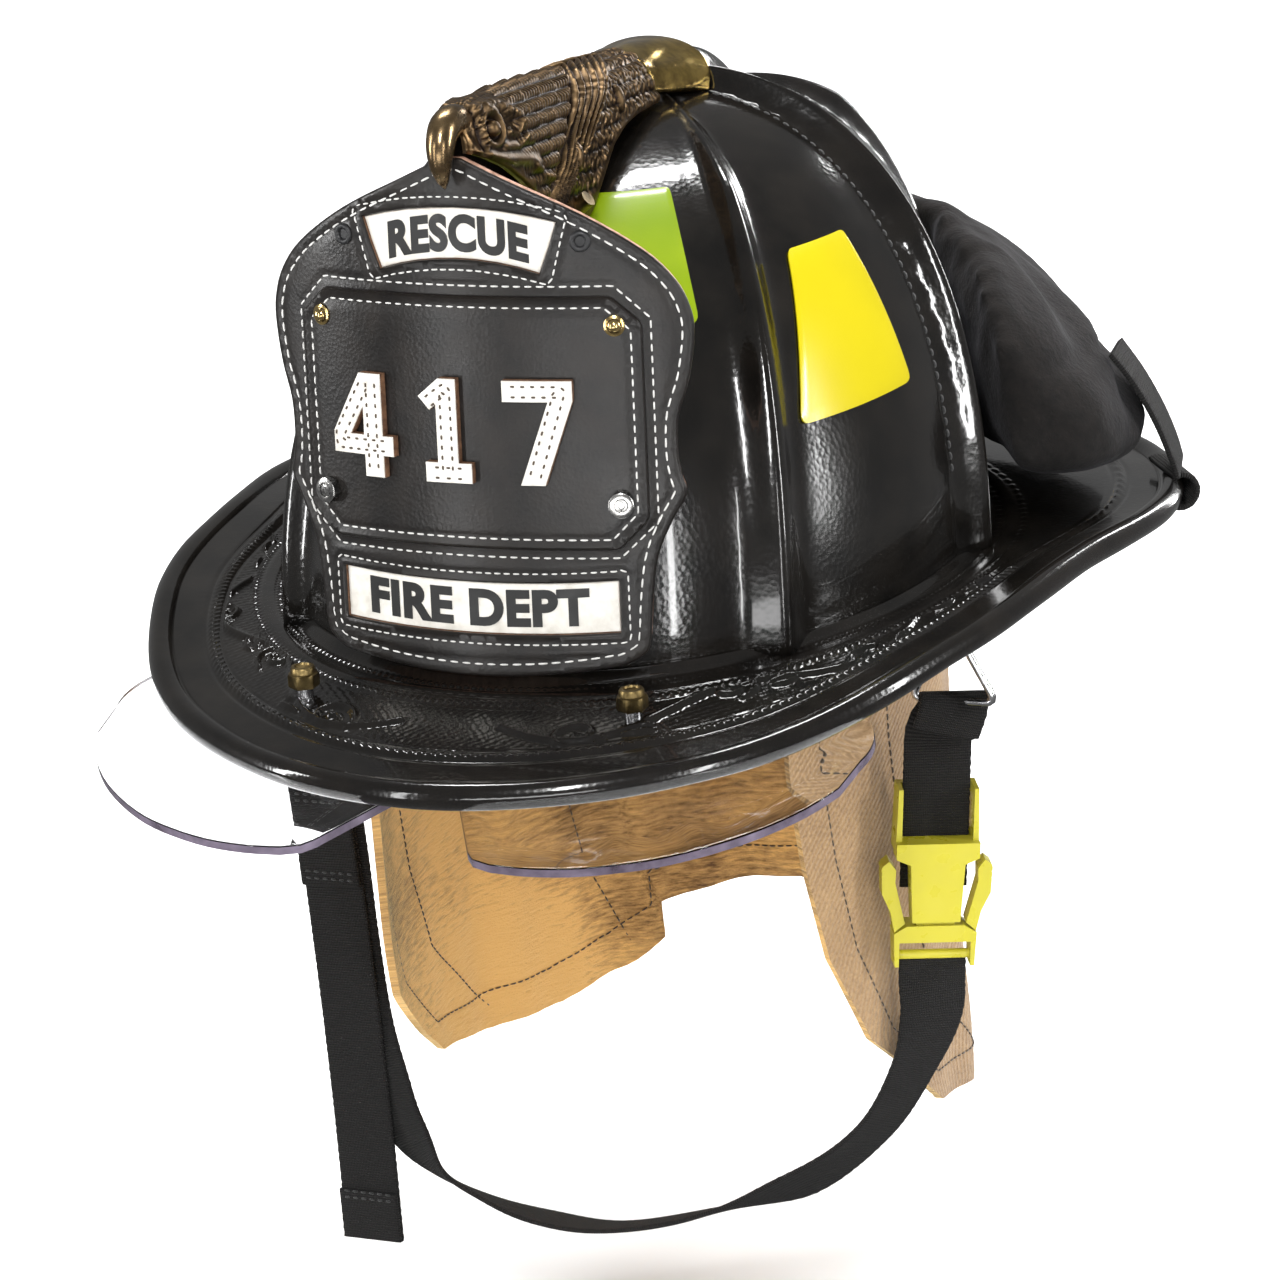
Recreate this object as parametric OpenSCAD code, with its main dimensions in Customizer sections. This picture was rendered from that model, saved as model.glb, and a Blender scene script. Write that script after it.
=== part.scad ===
// Leather firefighter helmet: an eight-comb crown on a saddle brim, with an eagle crest that holds
// a stitched front shield, flip-down eyeshields, an inner suspension, ear and neck curtain,
// and a chin strap with a side-release buckle.
// Millimetres. X is the wearer's left, Y runs to the back, Z is up.
// The origin is the middle of the headband, level with the seam of crown and brim.

/* [Crown] */
// Half width of the crown at the brim seam
crown_half_width = 105.3; // [95:0.1:115]
// Half length of the crown at the brim seam
crown_half_length = 125.4; // [115:0.1:135]
// Height of the crown above the brim seam, without the combs
crown_height = 143; // [130:1:155]
// How far the top of the crown sits behind its base
crown_lean = 31; // [0:1:40]
// Height of each comb above the panels
comb_height = 7; // [3:0.5:9]
// Thickness of the crown leather
leather = 3.6; // [2.5:0.1:4.5]

/* [Brim] */
// Thickness of the brim leather
brim_thickness = 4; // [3:0.5:5]
// Radius of the rolled edge
edge_roll_r = 4.2; // [3.5:0.1:5]

/* [Front shield] */
// Height of the shield from its foot to its peak
shield_height = 150; // [140:1:160]
// Radius of the shield's curve across its width
shield_curve_r = 149; // [120:1:180]
// Backward lean of the shield in degrees
shield_lean = 5; // [0:0.5:8]
// Thickness of the shield leather
shield_leather = 3.2; // [2:0.1:4]
// Height of each digit
digit_h = 31; // [24:1:34]

/* [Eyeshields] */
// Thickness of each lens
lens_thickness = 3; // [2:0.5:4]
// Downward slope of a raised lens in degrees
lens_slope = 10; // [6:1:12]

/* [Headgear] */
// Half width inside the headband
headband_half_width = 78; // [70:1:80]
// Half length inside the headband
headband_half_length = 98; // [90:1:100]
// Height of the headband
headband_h = 30; // [22:1:34]

/* [Chin strap] */
// Width of the webbing
webbing_w = 21; // [18:0.5:25]
// Thickness of the webbing
webbing_t = 1.6; // [1.2:0.1:2]

/* [Curtain] */
// Half width of the ear curtain
curtain_half_width = 89; // [84:1:94]
// Half length of the ear curtain
curtain_half_length = 108; // [104:1:112]
// Half length of the curtain behind the ears
curtain_rear_length = 117; // [112:1:118]
// Thickness of the curtain cloth
curtain_t = 2.4; // [1.5:0.1:4]

/* [Hidden] */

combs = 8;
comb_step = 360 / combs;
comb_spread = 3.4;                 // degrees from a comb's ridge to its flank
crown_squareness = 2.3;
crown_lean_power = 1.5;
top_angle = 88;                    // the crown's last row, just short of the apex
// columns across one crown panel, from comb to comb
panel_columns = [0, 2.5, 5, 8, 15, 22.5, 30, 37, 40, 42.5];
// angle round from the front of each comb
comb_at = [0, 48, 97, 141, 180, 219, 263, 312, 360];
crown_columns = [for (i = [0:combs - 1]) each [for (c = panel_columns)
    comb_at[i] + (comb_at[i + 1] - comb_at[i]) * c / comb_step]];
crown_rows = [0, 8, 16, 24, 33, 42, 51, 60, 68, 75, 81, 85, top_angle];

// reach of the brim from the centre line, and height of its edge, every 30 degrees from the front
brim_reach = [182, 171, 151, 145, 171, 198, 211];
brim_rise = [-12.6, -9, 3, 5.7, -0.5, -9.7, -19];
brim_station = 30;
brim_columns = 72;
brim_inner_lap = 5;                // the brim runs this far in under the crown wall

shield_foot = [0, -129.1, 6.9];
// half width of the shield at heights up its face
shield_outline = [[0, 46], [2, 50], [6, 53.5], [21, 55], [33, 57], [43, 61.5], [51, 66], [56, 65],
    [63, 64], [74, 64.5], [85, 68], [98, 70], [106, 69], [114, 65], [123, 56], [134, 38],
    [144, 16], [150, 3]];
panel_outline = [[35, 46], [44, 55], [102, 55], [110, 46]];
panel_t = 1.6;
plate_t = 1.2;
window_floor = -2.5;               // depth of the windows below the shield's face
digit_t = 3;
digit_w = 21;
stud_u = 47;
stud_v = 101.5;
nut_v = 49;

hinge_y = -104;
hinge_z = -10.4;
hinge_x = 56;
pin_r = 1.5;
pin_clearance = 0.06;
bolt_x = 53;
bolt_y = -137;

staple_z = -10;
strap_y = -28;
staple_x = 112;
ring_wire_r = 1.3;
ring_half = 14;
ring_drop = 24;

buckle_at = [102, strap_y, -92];
buckle_yaw = 28;
buckle_tilt = 5;
socket_front = -8.6;
socket_back = -1.1;
tongue_y = (socket_front + socket_back) / 2;

hanger_at = [86, 160, -18];
housing_y = 101;

black_leather = [0.05, 0.05, 0.05];
bronze = [0.42, 0.31, 0.18];
tan_cloth = [0.75, 0.58, 0.38];
webbing_black = [0.07, 0.07, 0.07];
buckle_yellow = [0.93, 0.9, 0.2];
clear_lens = [0.8, 0.82, 0.86, 0.5];
bright_steel = [0.75, 0.75, 0.78];

// ---------------------------------------------------------------- surfaces

// A closed solid between two grids of points that have the same rows and columns.
// around: the columns close on themselves. cap: the last row is closed by a face, not a wall.
module skin(outer, inner, around = false, cap = false) {
    rows = len(outer);
    cols = len(outer[0]);
    n = rows * cols;
    last = around ? cols - 1 : cols - 2;
    function at(r, c) = r * cols + c % cols;
    sides = [for (r = [0:rows - 2]) for (c = [0:last])
        each [[at(r, c), at(r + 1, c), at(r + 1, c + 1)], [at(r, c), at(r + 1, c + 1), at(r, c + 1)]]];
    backs = [for (f = sides) [f[0] + n, f[2] + n, f[1] + n]];
    foot = [for (c = [0:last])
        each [[at(0, c), at(0, c + 1), at(0, c + 1) + n], [at(0, c), at(0, c + 1) + n, at(0, c) + n]]];
    top = [for (c = [0:last]) let (r = rows - 1)
        each [[at(r, c), at(r, c + 1) + n, at(r, c + 1)], [at(r, c), at(r, c) + n, at(r, c + 1) + n]]];
    lids = [for (c = [1:cols - 2]) let (r = rows - 1)
        each [[at(r, 0), at(r, c + 1), at(r, c)], [at(r, 0) + n, at(r, c) + n, at(r, c + 1) + n]]];
    ends = [for (r = [0:rows - 2]) let (e = cols - 1)
        each [[at(r, 0), at(r, 0) + n, at(r + 1, 0)], [at(r, 0) + n, at(r + 1, 0) + n, at(r + 1, 0)],
            [at(r, e), at(r + 1, e), at(r, e) + n], [at(r, e) + n, at(r + 1, e), at(r + 1, e) + n]]];
    polyhedron(points = concat([for (r = outer) each r], [for (r = inner) each r]),
        faces = concat(sides, backs, foot, cap ? lids : top, around ? [] : ends));
}

// A closed solid through a list of rings of points, with flat ends, or joined end to end.
module loft(rings, loop = false) {
    rows = len(rings);
    cols = len(rings[0]);
    last = loop ? rows - 1 : rows - 2;
    function at(r, c) = (r % rows) * cols + c % cols;
    sides = [for (r = [0:last]) for (c = [0:cols - 1])
        each [[at(r, c), at(r + 1, c), at(r + 1, c + 1)], [at(r, c), at(r + 1, c + 1), at(r, c + 1)]]];
    ends = [for (c = [1:cols - 2])
        each [[at(0, 0), at(0, c), at(0, c + 1)], [at(rows - 1, 0), at(rows - 1, c + 1), at(rows - 1, c)]]];
    polyhedron(points = [for (r = rings) each r], faces = concat(sides, loop ? [] : ends));
}

function unit(v) = v / norm(v);

// Flat webbing through a route of points. faces_towards gives, at each point, the direction
// that the webbing's flat side looks.
function webbing_rings(route, faces_towards, w, t) = [for (i = [0:len(route) - 1])
    let (a = route[max(i - 1, 0)], b = route[min(i + 1, len(route) - 1)])
    let (along = unit(b - a), side = unit(cross(along, faces_towards[i])))
    let (out = cross(side, along), p = route[i])
    [p - side * w / 2 - out * t / 2, p + side * w / 2 - out * t / 2,
        p + side * w / 2 + out * t / 2, p - side * w / 2 + out * t / 2]];

module webbing(route, faces_towards, w = webbing_w, t = webbing_t) {
    loft(webbing_rings(route, faces_towards, w, t));
}

// How high the combs stand at an angle round the crown and an angle up it.
function comb_fade(i, f) =
    i == 0 ? max(0, min(1, (f - 24) / 12)) :
    i % 2 == 1 ? max(0.12, min(1, (78 - f) / 22)) : 1;
function comb(t, f) = let (near = [for (i = [0:combs]) if (abs(t - comb_at[i]) < 12) i])
    len(near) == 0 ? 0 :
    comb_height * exp(-pow((t - comb_at[near[0]]) / comb_spread, 2)) * comb_fade(near[0] % combs, f);

// A point on the crown: t is the angle round from the front, f the angle up, off the offset out.
function crown_point(t, f, off) =
    let (r = pow(cos(f), 2 / crown_squareness), z = crown_height * pow(sin(f), 2 / crown_squareness))
    [(crown_half_width + off) * sin(t) * r,
        -(crown_half_length + off) * cos(t) * r
            + crown_lean * pow(max(z, 0) / crown_height, crown_lean_power),
        z + off * sin(f)];

// Smooth curve through the brim's stations.
function station(list, i) = let (n = len(list) - 1, j = abs(i) % (2 * n)) list[j > n ? 2 * n - j : j];
function smooth(list, t) =
    let (i = floor(t / brim_station), q = t / brim_station - i)
    let (a = station(list, i - 1), b = station(list, i), c = station(list, i + 1), d = station(list, i + 2))
    b + 0.5 * q * (c - a + q * (2 * a - 5 * b + 4 * c - d + q * (3 * (b - c) + d - a)));

function crown_radius(t) = 1 / sqrt(pow(sin(t) / crown_half_width, 2) + pow(cos(t) / crown_half_length, 2));

// A point on the brim: t is the angle round from the front, s runs from the seam 0 to the edge 1.
function brim_point(t, s, drop) =
    let (r0 = crown_radius(t), r1 = smooth(brim_reach, t) - edge_roll_r)
    let (r = s < 0 ? r0 + s * brim_inner_lap : r0 + s * (r1 - r0))
    [r * sin(t), -r * cos(t), smooth(brim_rise, t) * pow(max(s, 0), 1.2) - drop];

// A point on the shield's face: u across, v up, off outwards.
function shield_point(u, v, off) =
    let (a = u / shield_curve_r * 180 / PI)
    let (back = shield_curve_r - (shield_curve_r + off) * cos(a))
    shield_foot + [(shield_curve_r + off) * sin(a),
        back * cos(shield_lean) + v * sin(shield_lean),
        v * cos(shield_lean) - back * sin(shield_lean)];

// Sets its children on the shield's face, with their own +Z pointing out of it.
module on_shield(u, v, off) {
    translate(shield_foot) rotate([-shield_lean, 0, 0]) translate([0, shield_curve_r, v])
        rotate([0, 0, u / shield_curve_r * 180 / PI]) translate([0, -shield_curve_r - off, 0])
        rotate([90, 0, 0]) children();
}

// A plate that follows the shield's curve. outline pairs each height with a half width.
module shield_plate(outline, low, high, steps = 12, bow_top = 0, bow_foot = 0) {
    foot = outline[0][0];
    head = outline[len(outline) - 1][0];
    function bow(s, v) = (1 - s * s) * (bow_top * (v - foot) - bow_foot * (head - v)) / (head - foot);
    function grid(off) = [for (p = outline) [for (i = [0:steps])
        let (s = 2 * i / steps - 1) shield_point(s * p[1], p[0] + bow(s, p[0]), off)]];
    skin(grid(high), grid(low));
}

// ---------------------------------------------------------------- shell

module crown_shell() {
    color(black_leather)
    skin([for (f = crown_rows) [for (t = crown_columns) crown_point(t, f, comb(t, f))]],
        [for (f = crown_rows) [for (t = crown_columns) crown_point(t, f, comb(t, f) * 0.7 - leather)]],
        around = true, cap = true);
}

module brim() {
    steps = [-1, 0, 0.25, 0.5, 0.75, 1];
    function face(drop) = [for (s = steps) [for (c = [0:brim_columns - 1])
        brim_point(c * 360 / brim_columns, s, drop)]];
    color(black_leather) skin(face(brim_thickness), face(0), around = true);
}

// A round bar that follows the brim's edge.
module edge_bar(r, sides) {
    loft([for (c = [0:brim_columns - 1]) let (t = c * 360 / brim_columns)
        let (p = brim_point(t, 1, brim_thickness / 2) + [sin(t), -cos(t), 0] * edge_roll_r * 0.9)
        [for (k = [0:sides - 1]) let (q = -k * 360 / sides)
            p + [sin(t) * cos(q) * r, -cos(t) * cos(q) * r, sin(q) * r]]], loop = true);
}

module brim_edge_roll() {
    color(black_leather) edge_bar(edge_roll_r, 8);
}

module edge_wire() {
    color("silver") edge_bar(1.2, 4);
}

module impact_cap() {
    gap = 1.5;
    foam = 12;
    rows = [12, 22, 33, 45, 57, 68, 78, top_angle];
    function face(off) = [for (f = rows) [for (c = [0:35]) crown_point(c * 10, f, off)]];
    color("dimgray") skin(face(-leather - gap), face(-leather - gap - foam), around = true, cap = true);
}

// ---------------------------------------------------------------- crest

// One cross-section of the crest: y along the helmet, half width, underside and top.
function crest_ring(s) = [for (k = [0:11]) let (q = k * 30)
    [s[1] * cos(q), s[0], (s[2] + s[3]) / 2 + (s[3] - s[2]) / 2 * sin(q)]];

module crest_eagle() {
    color(bronze) loft([for (s = [[-113, 5, 156, 168], [-106, 9, 150, 170], [-95, 12, 139, 170],
        [-80, 14, 127, 168.5], [-64, 16, 119, 167], [-48, 17, 119, 165], [-32, 15, 129, 163],
        [-16, 15, 135, 161], [-4, 14.5, 138, 159.8], [8, 13.5, 141, 158.8]]) crest_ring(s)]);
}

module crest_beak() {
    color([0.62, 0.5, 0.3]) loft([for (s = [[-109, 166, 6, 8], [-114, 166, 5.5, 8], [-118, 164, 5, 9],
        [-121, 160, 4.2, 8], [-122, 155, 3.2, 6], [-121.5, 151, 1.6, 3], [-120.5, 148, 0.5, 1]])
        [for (k = [0:7]) let (q = k * 45, turn = min(90, max(0, (-110 - s[0]) * 8)))
            [s[2] * cos(q), s[0] + s[3] / 2 * sin(q) * sin(turn) * -0.6,
                s[1] + s[3] / 2 * sin(q) * cos(turn)]]]);
}

module crest_flare() {
    thick = 1.2;
    function arc(y, w, top, foot) = [for (k = [0:10]) let (q = k * 18) [w * cos(q), y, foot + (top - foot) * sin(q)]];
    rows = [[8.6, 13.5, 158.5, 147], [18, 16, 158, 144.5], [28, 19.5, 157, 143], [38, 22, 156, 142]];
    color([0.75, 0.6, 0.25])
    skin([for (s = rows) arc(s[0], s[1], s[2], s[3])],
        [for (s = rows) arc(s[0], s[1] - thick, s[2] - thick, s[3])]);
}

module crest_screws() {
    color("darkgoldenrod") for (side = [-1, 1]) translate([side * 11.5, -60, 125])
        rotate([0, side * 50, 0]) cylinder(h = 8, r = 2.5, $fn = 24);
}

// ---------------------------------------------------------------- front shield

top_window = [[116.5, 25.5], [124, 28.5], [131.5, 31]];
bottom_window = [[10, 45], [25.5, 45]];

// The shield with two shallow windows, in which the white plates lie.
module front_shield() {
    color(black_leather) difference() {
        shield_plate(shield_outline, -shield_leather, 0, bow_foot = 4);
        shield_plate(top_window, window_floor, 1, 8, 4, -4);
        shield_plate(bottom_window, window_floor, 1, 12, -1.2, 1.2);
    }
}

module number_panel() {
    color(black_leather) shield_plate(panel_outline, 0, panel_t);
}

module top_plate() {
    color("white") shield_plate([[116.6, 25.4], [124, 28.4], [131.4, 30.9]], window_floor, window_floor + plate_t,
        8, 4, -4);
}

module bottom_plate() {
    color("white") shield_plate([[10.1, 44.9], [25.4, 44.9]], window_floor, window_floor + plate_t, 12, -1.2, 1.2);
}

module digit_four() {
    difference() {
        polygon([[11, 0], [17.5, 0], [17.5, 6.5], [21, 6.5], [21, 12.5], [17.5, 12.5], [17.5, 31],
            [10, 31], [0, 13], [0, 6.5], [11, 6.5]]);
        polygon([[6.2, 12.5], [11, 12.5], [11, 21]]);
    }
}

module digit_one() {
    polygon([[4, 0], [18.5, 0], [18.5, 6], [14.5, 6], [14.5, 31], [9, 31], [2.5, 25.5], [6, 21.5],
        [8, 23.2], [8, 6], [4, 6]]);
}

module digit_seven() {
    polygon([[5, 0], [12.2, 0], [21, 25], [21, 31], [0.5, 31], [0.5, 24.7], [13.8, 24.7]]);
}

module shield_numerals() {
    size = digit_h / 31;
    color("white") for (i = [0:2])
        on_shield([-31.5, -4, 24][i], 55, panel_t + 0.05) translate([-digit_w / 2 * size, 0, 0])
            linear_extrude(digit_t) scale(size) {
                if (i == 0) digit_four();
                if (i == 1) digit_one();
                if (i == 2) digit_seven();
            }
}

module shield_studs() {
    color("gold") for (side = [-1, 1]) on_shield(side * stud_u, stud_v, panel_t) {
        cylinder(h = 0.8, r = 2.6, $fn = 32);
        translate([0, 0, 0.6]) sphere(r = 2, $fn = 24);
    }
}

module shield_nuts() {
    across = 8;
    color(bright_steel) for (side = [-1, 1]) on_shield(side * stud_u, nut_v, panel_t) {
        difference() {
            cylinder(h = 3, r = across / 2 / cos(30), $fn = 6);
            translate([0, 0, -1]) cylinder(h = 5, r = 2, $fn = 32);
        }
        translate([0, 0, -0.5]) cylinder(h = 3.2, r = 2.05, $fn = 32);
    }
}

module shield_eyelets() {
    color("black") for (side = [-1, 1]) on_shield(side * 38, 126, 0) difference() {
        cylinder(h = 0.9, r = 3, $fn = 32);
        translate([0, 0, -1]) cylinder(h = 3, r = 1.5, $fn = 32);
    }
}

// A reflective trapezium on a crown panel: centred at angle t, between two heights.
module marker(t, low, high, half_low, half_high) {
    steps = 4;
    function face(off) = [for (i = [0:steps]) let (q = i / steps, f = low + (high - low) * q)
        [for (k = [0:steps]) let (w = half_low + (half_high - half_low) * q)
            crown_point(t + w * (2 * k / steps - 1), f, off)]];
    skin(face(1.1), face(0.8));
}

module markers_lime() {
    color("yellowgreen") for (t = [22, 338]) marker(t, 38, 60, 15.5, 11.5);
}

module markers_yellow() {
    color("yellow") {
        for (t = [67.5, 292.5]) marker(t, 22.5, 45.5, 13.2, 8.3);
        for (t = [160.5, 199.5]) marker(t, 22.5, 45.5, 10.5, 7);
    }
}

// ---------------------------------------------------------------- suspension

function oval(a, b, from, to, steps) = [for (k = [0:steps]) let (t = from + (to - from) * k / steps)
    [a * sin(t), -b * cos(t)]];

// An upright band round part of an oval.
module oval_band(a, b, thick, from, to, low, high, steps = 48) {
    translate([0, 0, low]) linear_extrude(high - low)
        polygon(concat(oval(a + thick, b + thick, from, to, steps), oval(a, b, to, from, steps)));
}

module headband() {
    color([0.15, 0.15, 0.15])
        oval_band(headband_half_width, headband_half_length, 2, -160, 160, -12, headband_h - 12);
}

module brow_pad() {
    pad = 4;
    color("sienna") oval_band(headband_half_width - pad - 0.3, headband_half_length - pad - 0.3, pad,
        -60, 60, -13, headband_h - 13, 24);
}

// One suspension strap, from the headband over the head to the far side, at its own height.
module crown_strap(t, top) {
    rise = [for (k = [0:12]) let (q = k * 15) [cos(q), sin(q)]];
    reach = norm([(headband_half_width + 3.2) * sin(t), (headband_half_length + 3.2) * cos(t)]);
    route = [for (p = rise) let (w = pow(abs(p[0]), 0.9) * sign(p[0]))
        [sin(t) * reach * w, -cos(t) * reach * w, 6 + (top - 6) * pow(p[1], 0.8)]];
    webbing(route, [for (p = rise) [sin(t) * p[0], -cos(t) * p[0], max(p[1], 0.05)]], 19, 1.5);
}

module crown_straps() {
    color(webbing_black) for (i = [0:2]) crown_strap(35 + i * 55, 100 - i * 2);
}

module crown_pad() {
    color("dimgray") translate([0, 0, 90]) cylinder(h = 5, r = 32, $fn = 48);
}

module ratchet_housing() {
    color([0.12, 0.12, 0.12]) difference() {
        translate([-18, housing_y - 5, -12]) cube([36, 12, 26]);
        translate([-20, housing_y - 3, -4]) cube([40, 5, 12]);
        translate([0, housing_y, 2]) rotate([-90, 0, 0]) cylinder(h = 20, r = 4 + pin_clearance, $fn = 48);
    }
}

module ratchet_knob() {
    color("black") translate([0, housing_y, 2]) rotate([-90, 0, 0]) {
        translate([0, 0, 2.4]) cylinder(h = 6, r = 4, $fn = 48);
        difference() {
            translate([0, 0, 7.4]) cylinder(h = 6, r = 14, $fn = 64);
            for (k = [0:15]) rotate([0, 0, k * 22.5]) translate([15, 0, 6]) cylinder(h = 12, r = 2, $fn = 16);
        }
    }
}

// The racked end of the headband, which runs through the ratchet housing.
module band_tail(side) {
    low = side > 0 ? -3.6 : 2.4;
    color([0.2, 0.2, 0.2]) translate([side > 0 ? 2 : -30, housing_y - 2.2, low]) cube([28, 1.8, 5.4]);
}

module band_tail_left() {
    band_tail(1);
}

module band_tail_right() {
    band_tail(-1);
}

// ---------------------------------------------------------------- eyeshields

// Half of the brim-mounted eyeshield hardware is described for the left side and mirrored.
module mirrored(side) {
    if (side > 0) children();
    else mirror([1, 0, 0]) children();
}

// Everything on a lens is drawn flat about the hinge line, then sloped.
module sloped() {
    translate([0, hinge_y, hinge_z]) rotate([lens_slope, 0, 0]) children();
}

module lens_bracket(side) {
    low = 4.6;
    reach = hinge_y - bolt_y;
    color(bright_steel) mirrored(side) sloped() {
        difference() {
            translate([bolt_x - 9, -reach - 8, low]) cube([18, reach + 8, 1.4]);
            translate([bolt_x, -reach, low - 2]) cylinder(h = 6, r = 2.8, $fn = 32);
        }
        for (x = [hinge_x - 15, hinge_x + 9.2]) translate([x, 0, 0]) difference() {
            union() {
                rotate([0, 90, 0]) cylinder(h = 6, r = 3, $fn = 48);
                translate([0, -3, 0]) cube([6, 6, low + 0.4]);
            }
            translate([-1, 0, 0]) rotate([0, 90, 0]) cylinder(h = 8, r = pin_r, $fn = 48);
        }
        translate([hinge_x - 15, -3, low]) cube([30.2, 6, 1.4]);
    }
}

module lens_bracket_left() {
    lens_bracket(1);
}

module lens_bracket_right() {
    lens_bracket(-1);
}

module lens_pin(side) {
    color("silver") mirrored(side) translate([hinge_x - 16.5, hinge_y, hinge_z]) rotate([0, 90, 0])
        cylinder(h = 33.2, r = pin_r, $fn = 48);
}

module lens_pin_left() {
    lens_pin(1);
}

module lens_pin_right() {
    lens_pin(-1);
}

module lens_clip(side) {
    half = 8.8;
    color([0.1, 0.1, 0.1]) mirrored(side) sloped() difference() {
        union() {
            translate([hinge_x - half, 0, 0]) rotate([0, 90, 0]) cylinder(h = half * 2, r = 3, $fn = 48);
            translate([hinge_x - half, -18, lens_thickness / 2]) cube([half * 2, 18, 1.5]);
        }
        translate([hinge_x - 20, 0, 0]) rotate([0, 90, 0])
            cylinder(h = 40, r = pin_r + pin_clearance, $fn = 48);
    }
}

module lens_clip_left() {
    lens_clip(1);
}

module lens_clip_right() {
    lens_clip(-1);
}

// The outline of a lens in front of the hinge line: a slanted nose edge, a long bowed front
// and a round outer end.
function lens_outline() = concat(
    [[4, -55], [24, -92.5], [27, -96], [33, -98], [44, -98.5], [57, -97], [70, -93], [82, -87.5],
        [94, -79], [105, -68.5], [114, -56], [119.5, -44]],
    [for (k = [0:6]) [98, -22.5] + [23.5 * cos(-14 + k * 16), 25 * sin(-14 + k * 16)]],
    [[88, 0], [78, -4.5], [34, -4.5], [14, -10], [4, -24]]);

module lens(side) {
    color(clear_lens) mirrored(side) sloped() difference() {
        translate([0, 0, -lens_thickness / 2]) linear_extrude(lens_thickness) polygon(lens_outline());
        for (x = [hinge_x - 5.5, hinge_x + 5.5]) translate([x, -13, -5]) cylinder(h = 10, r = 1.6, $fn = 32);
    }
}

module lens_left() {
    lens(1);
}

module lens_right() {
    lens(-1);
}

module lens_rivets(side) {
    color("silver") mirrored(side) sloped()
        for (x = [hinge_x - 5.5, hinge_x + 5.5]) translate([x, -13, -lens_thickness / 2]) {
            translate([0, 0, -1]) cylinder(h = 1, r = 3, $fn = 32);
            translate([0, 0, -0.5]) cylinder(h = lens_thickness + 1.6, r = 1.6, $fn = 32);
        }
}

module lens_rivets_left() {
    lens_rivets(1);
}

module lens_rivets_right() {
    lens_rivets(-1);
}

module bracket_bolts() {
    color("darkgoldenrod") for (side = [-1, 1]) translate([side * bolt_x, bolt_y, 0]) {
        translate([0, 0, -13.3]) cylinder(h = 1.7, r = 3.9, $fn = 32);
        translate([0, 0, -12]) cylinder(h = 13.5, r = 2.5, $fn = 32);
    }
}

module bracket_nuts() {
    seat = -1.2;
    color([0.45, 0.36, 0.18]) for (side = [-1, 1]) translate([side * bolt_x, bolt_y, seat]) difference() {
        union() {
            cylinder(h = 1.2, r = 6, $fn = 48);
            translate([0, 0, 1]) cylinder(h = 5.5, r = 4.9, $fn = 48);
        }
        translate([0, 0, -1]) cylinder(h = 9, r = 2.5, $fn = 32);
    }
}

// ---------------------------------------------------------------- curtain

// The front edge and the foot of the ear curtain, by height and by angle from the front.
function curtain_front(z) = lookup(z, [[-185, 92], [-172, 84], [-158, 76], [-145, 68], [-112, 59],
    [-80, 55], [-50, 53], [0, 53]]);
function curtain_foot(t) = lookup(t, [[92, -183], [108, -190], [125, -192], [140, -187], [150, -178],
    [152, -165], [165, -161], [180, -159]]);

module neck_curtain() {
    steps = 24;
    rise = [0, 0.06, 0.14, 0.24, 0.4, 0.6, 0.8, 1];
    top = -2;
    function wall(off) = [for (q = rise) [for (k = [-steps:steps])
        let (s = abs(k) / steps, foot = curtain_foot(92 + (180 - 92) * (1 - s)))
        let (z = foot + (top - foot) * q, edge = curtain_front(z))
        let (t = edge + (180 - edge) * (1 - s), side = k < 0 ? 1 : -1)
        let (b = t < 90 ? curtain_half_length : curtain_rear_length)
        [(curtain_half_width + off) * sin(t) * side, -(b + off) * cos(t), z]]];
    color(tan_cloth) skin(wall(curtain_t), wall(0));
}

// ---------------------------------------------------------------- chin strap

// A staple under the brim on each side, with a straight pin that the strap ring swings on.
module strap_staples() {
    wall = 2;
    color(bright_steel) for (side = [-1, 1]) mirrored(side) translate([staple_x, strap_y, 0]) {
        for (x = [-6, 6 - wall]) translate([x, -3, staple_z - 2.2]) cube([wall, 6, 7.2]);
        translate([-6, -3, staple_z + 4]) cube([12, 6, 1.4]);
        translate([-7, 0, staple_z]) rotate([0, 90, 0]) cylinder(h = 14, r = 1.5, $fn = 48);
    }
}

// A wire ring that swings on each staple's pin and carries the webbing on its lower bar.
module strap_rings() {
    inner = 1.5 + pin_clearance;
    drop = ring_drop;
    color("silver") for (side = [-1, 1]) mirrored(side) translate([staple_x, strap_y, staple_z]) {
        rotate([0, 90, 0]) translate([0, 0, -3.4]) difference() {
            cylinder(h = 6.8, r = 3.2, $fn = 48);
            translate([0, 0, -1]) cylinder(h = 9, r = inner, $fn = 48);
        }
        for (way = [-1, 1]) hull() {
            translate([way * 1.6, 0, -2.8]) sphere(r = ring_wire_r, $fn = 16);
            translate([way * 12.6, 0, -drop]) sphere(r = ring_wire_r, $fn = 16);
        }
        hull() for (way = [-1, 1]) translate([way * 12.6, 0, -drop]) sphere(r = ring_wire_r, $fn = 16);
    }
}

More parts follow.
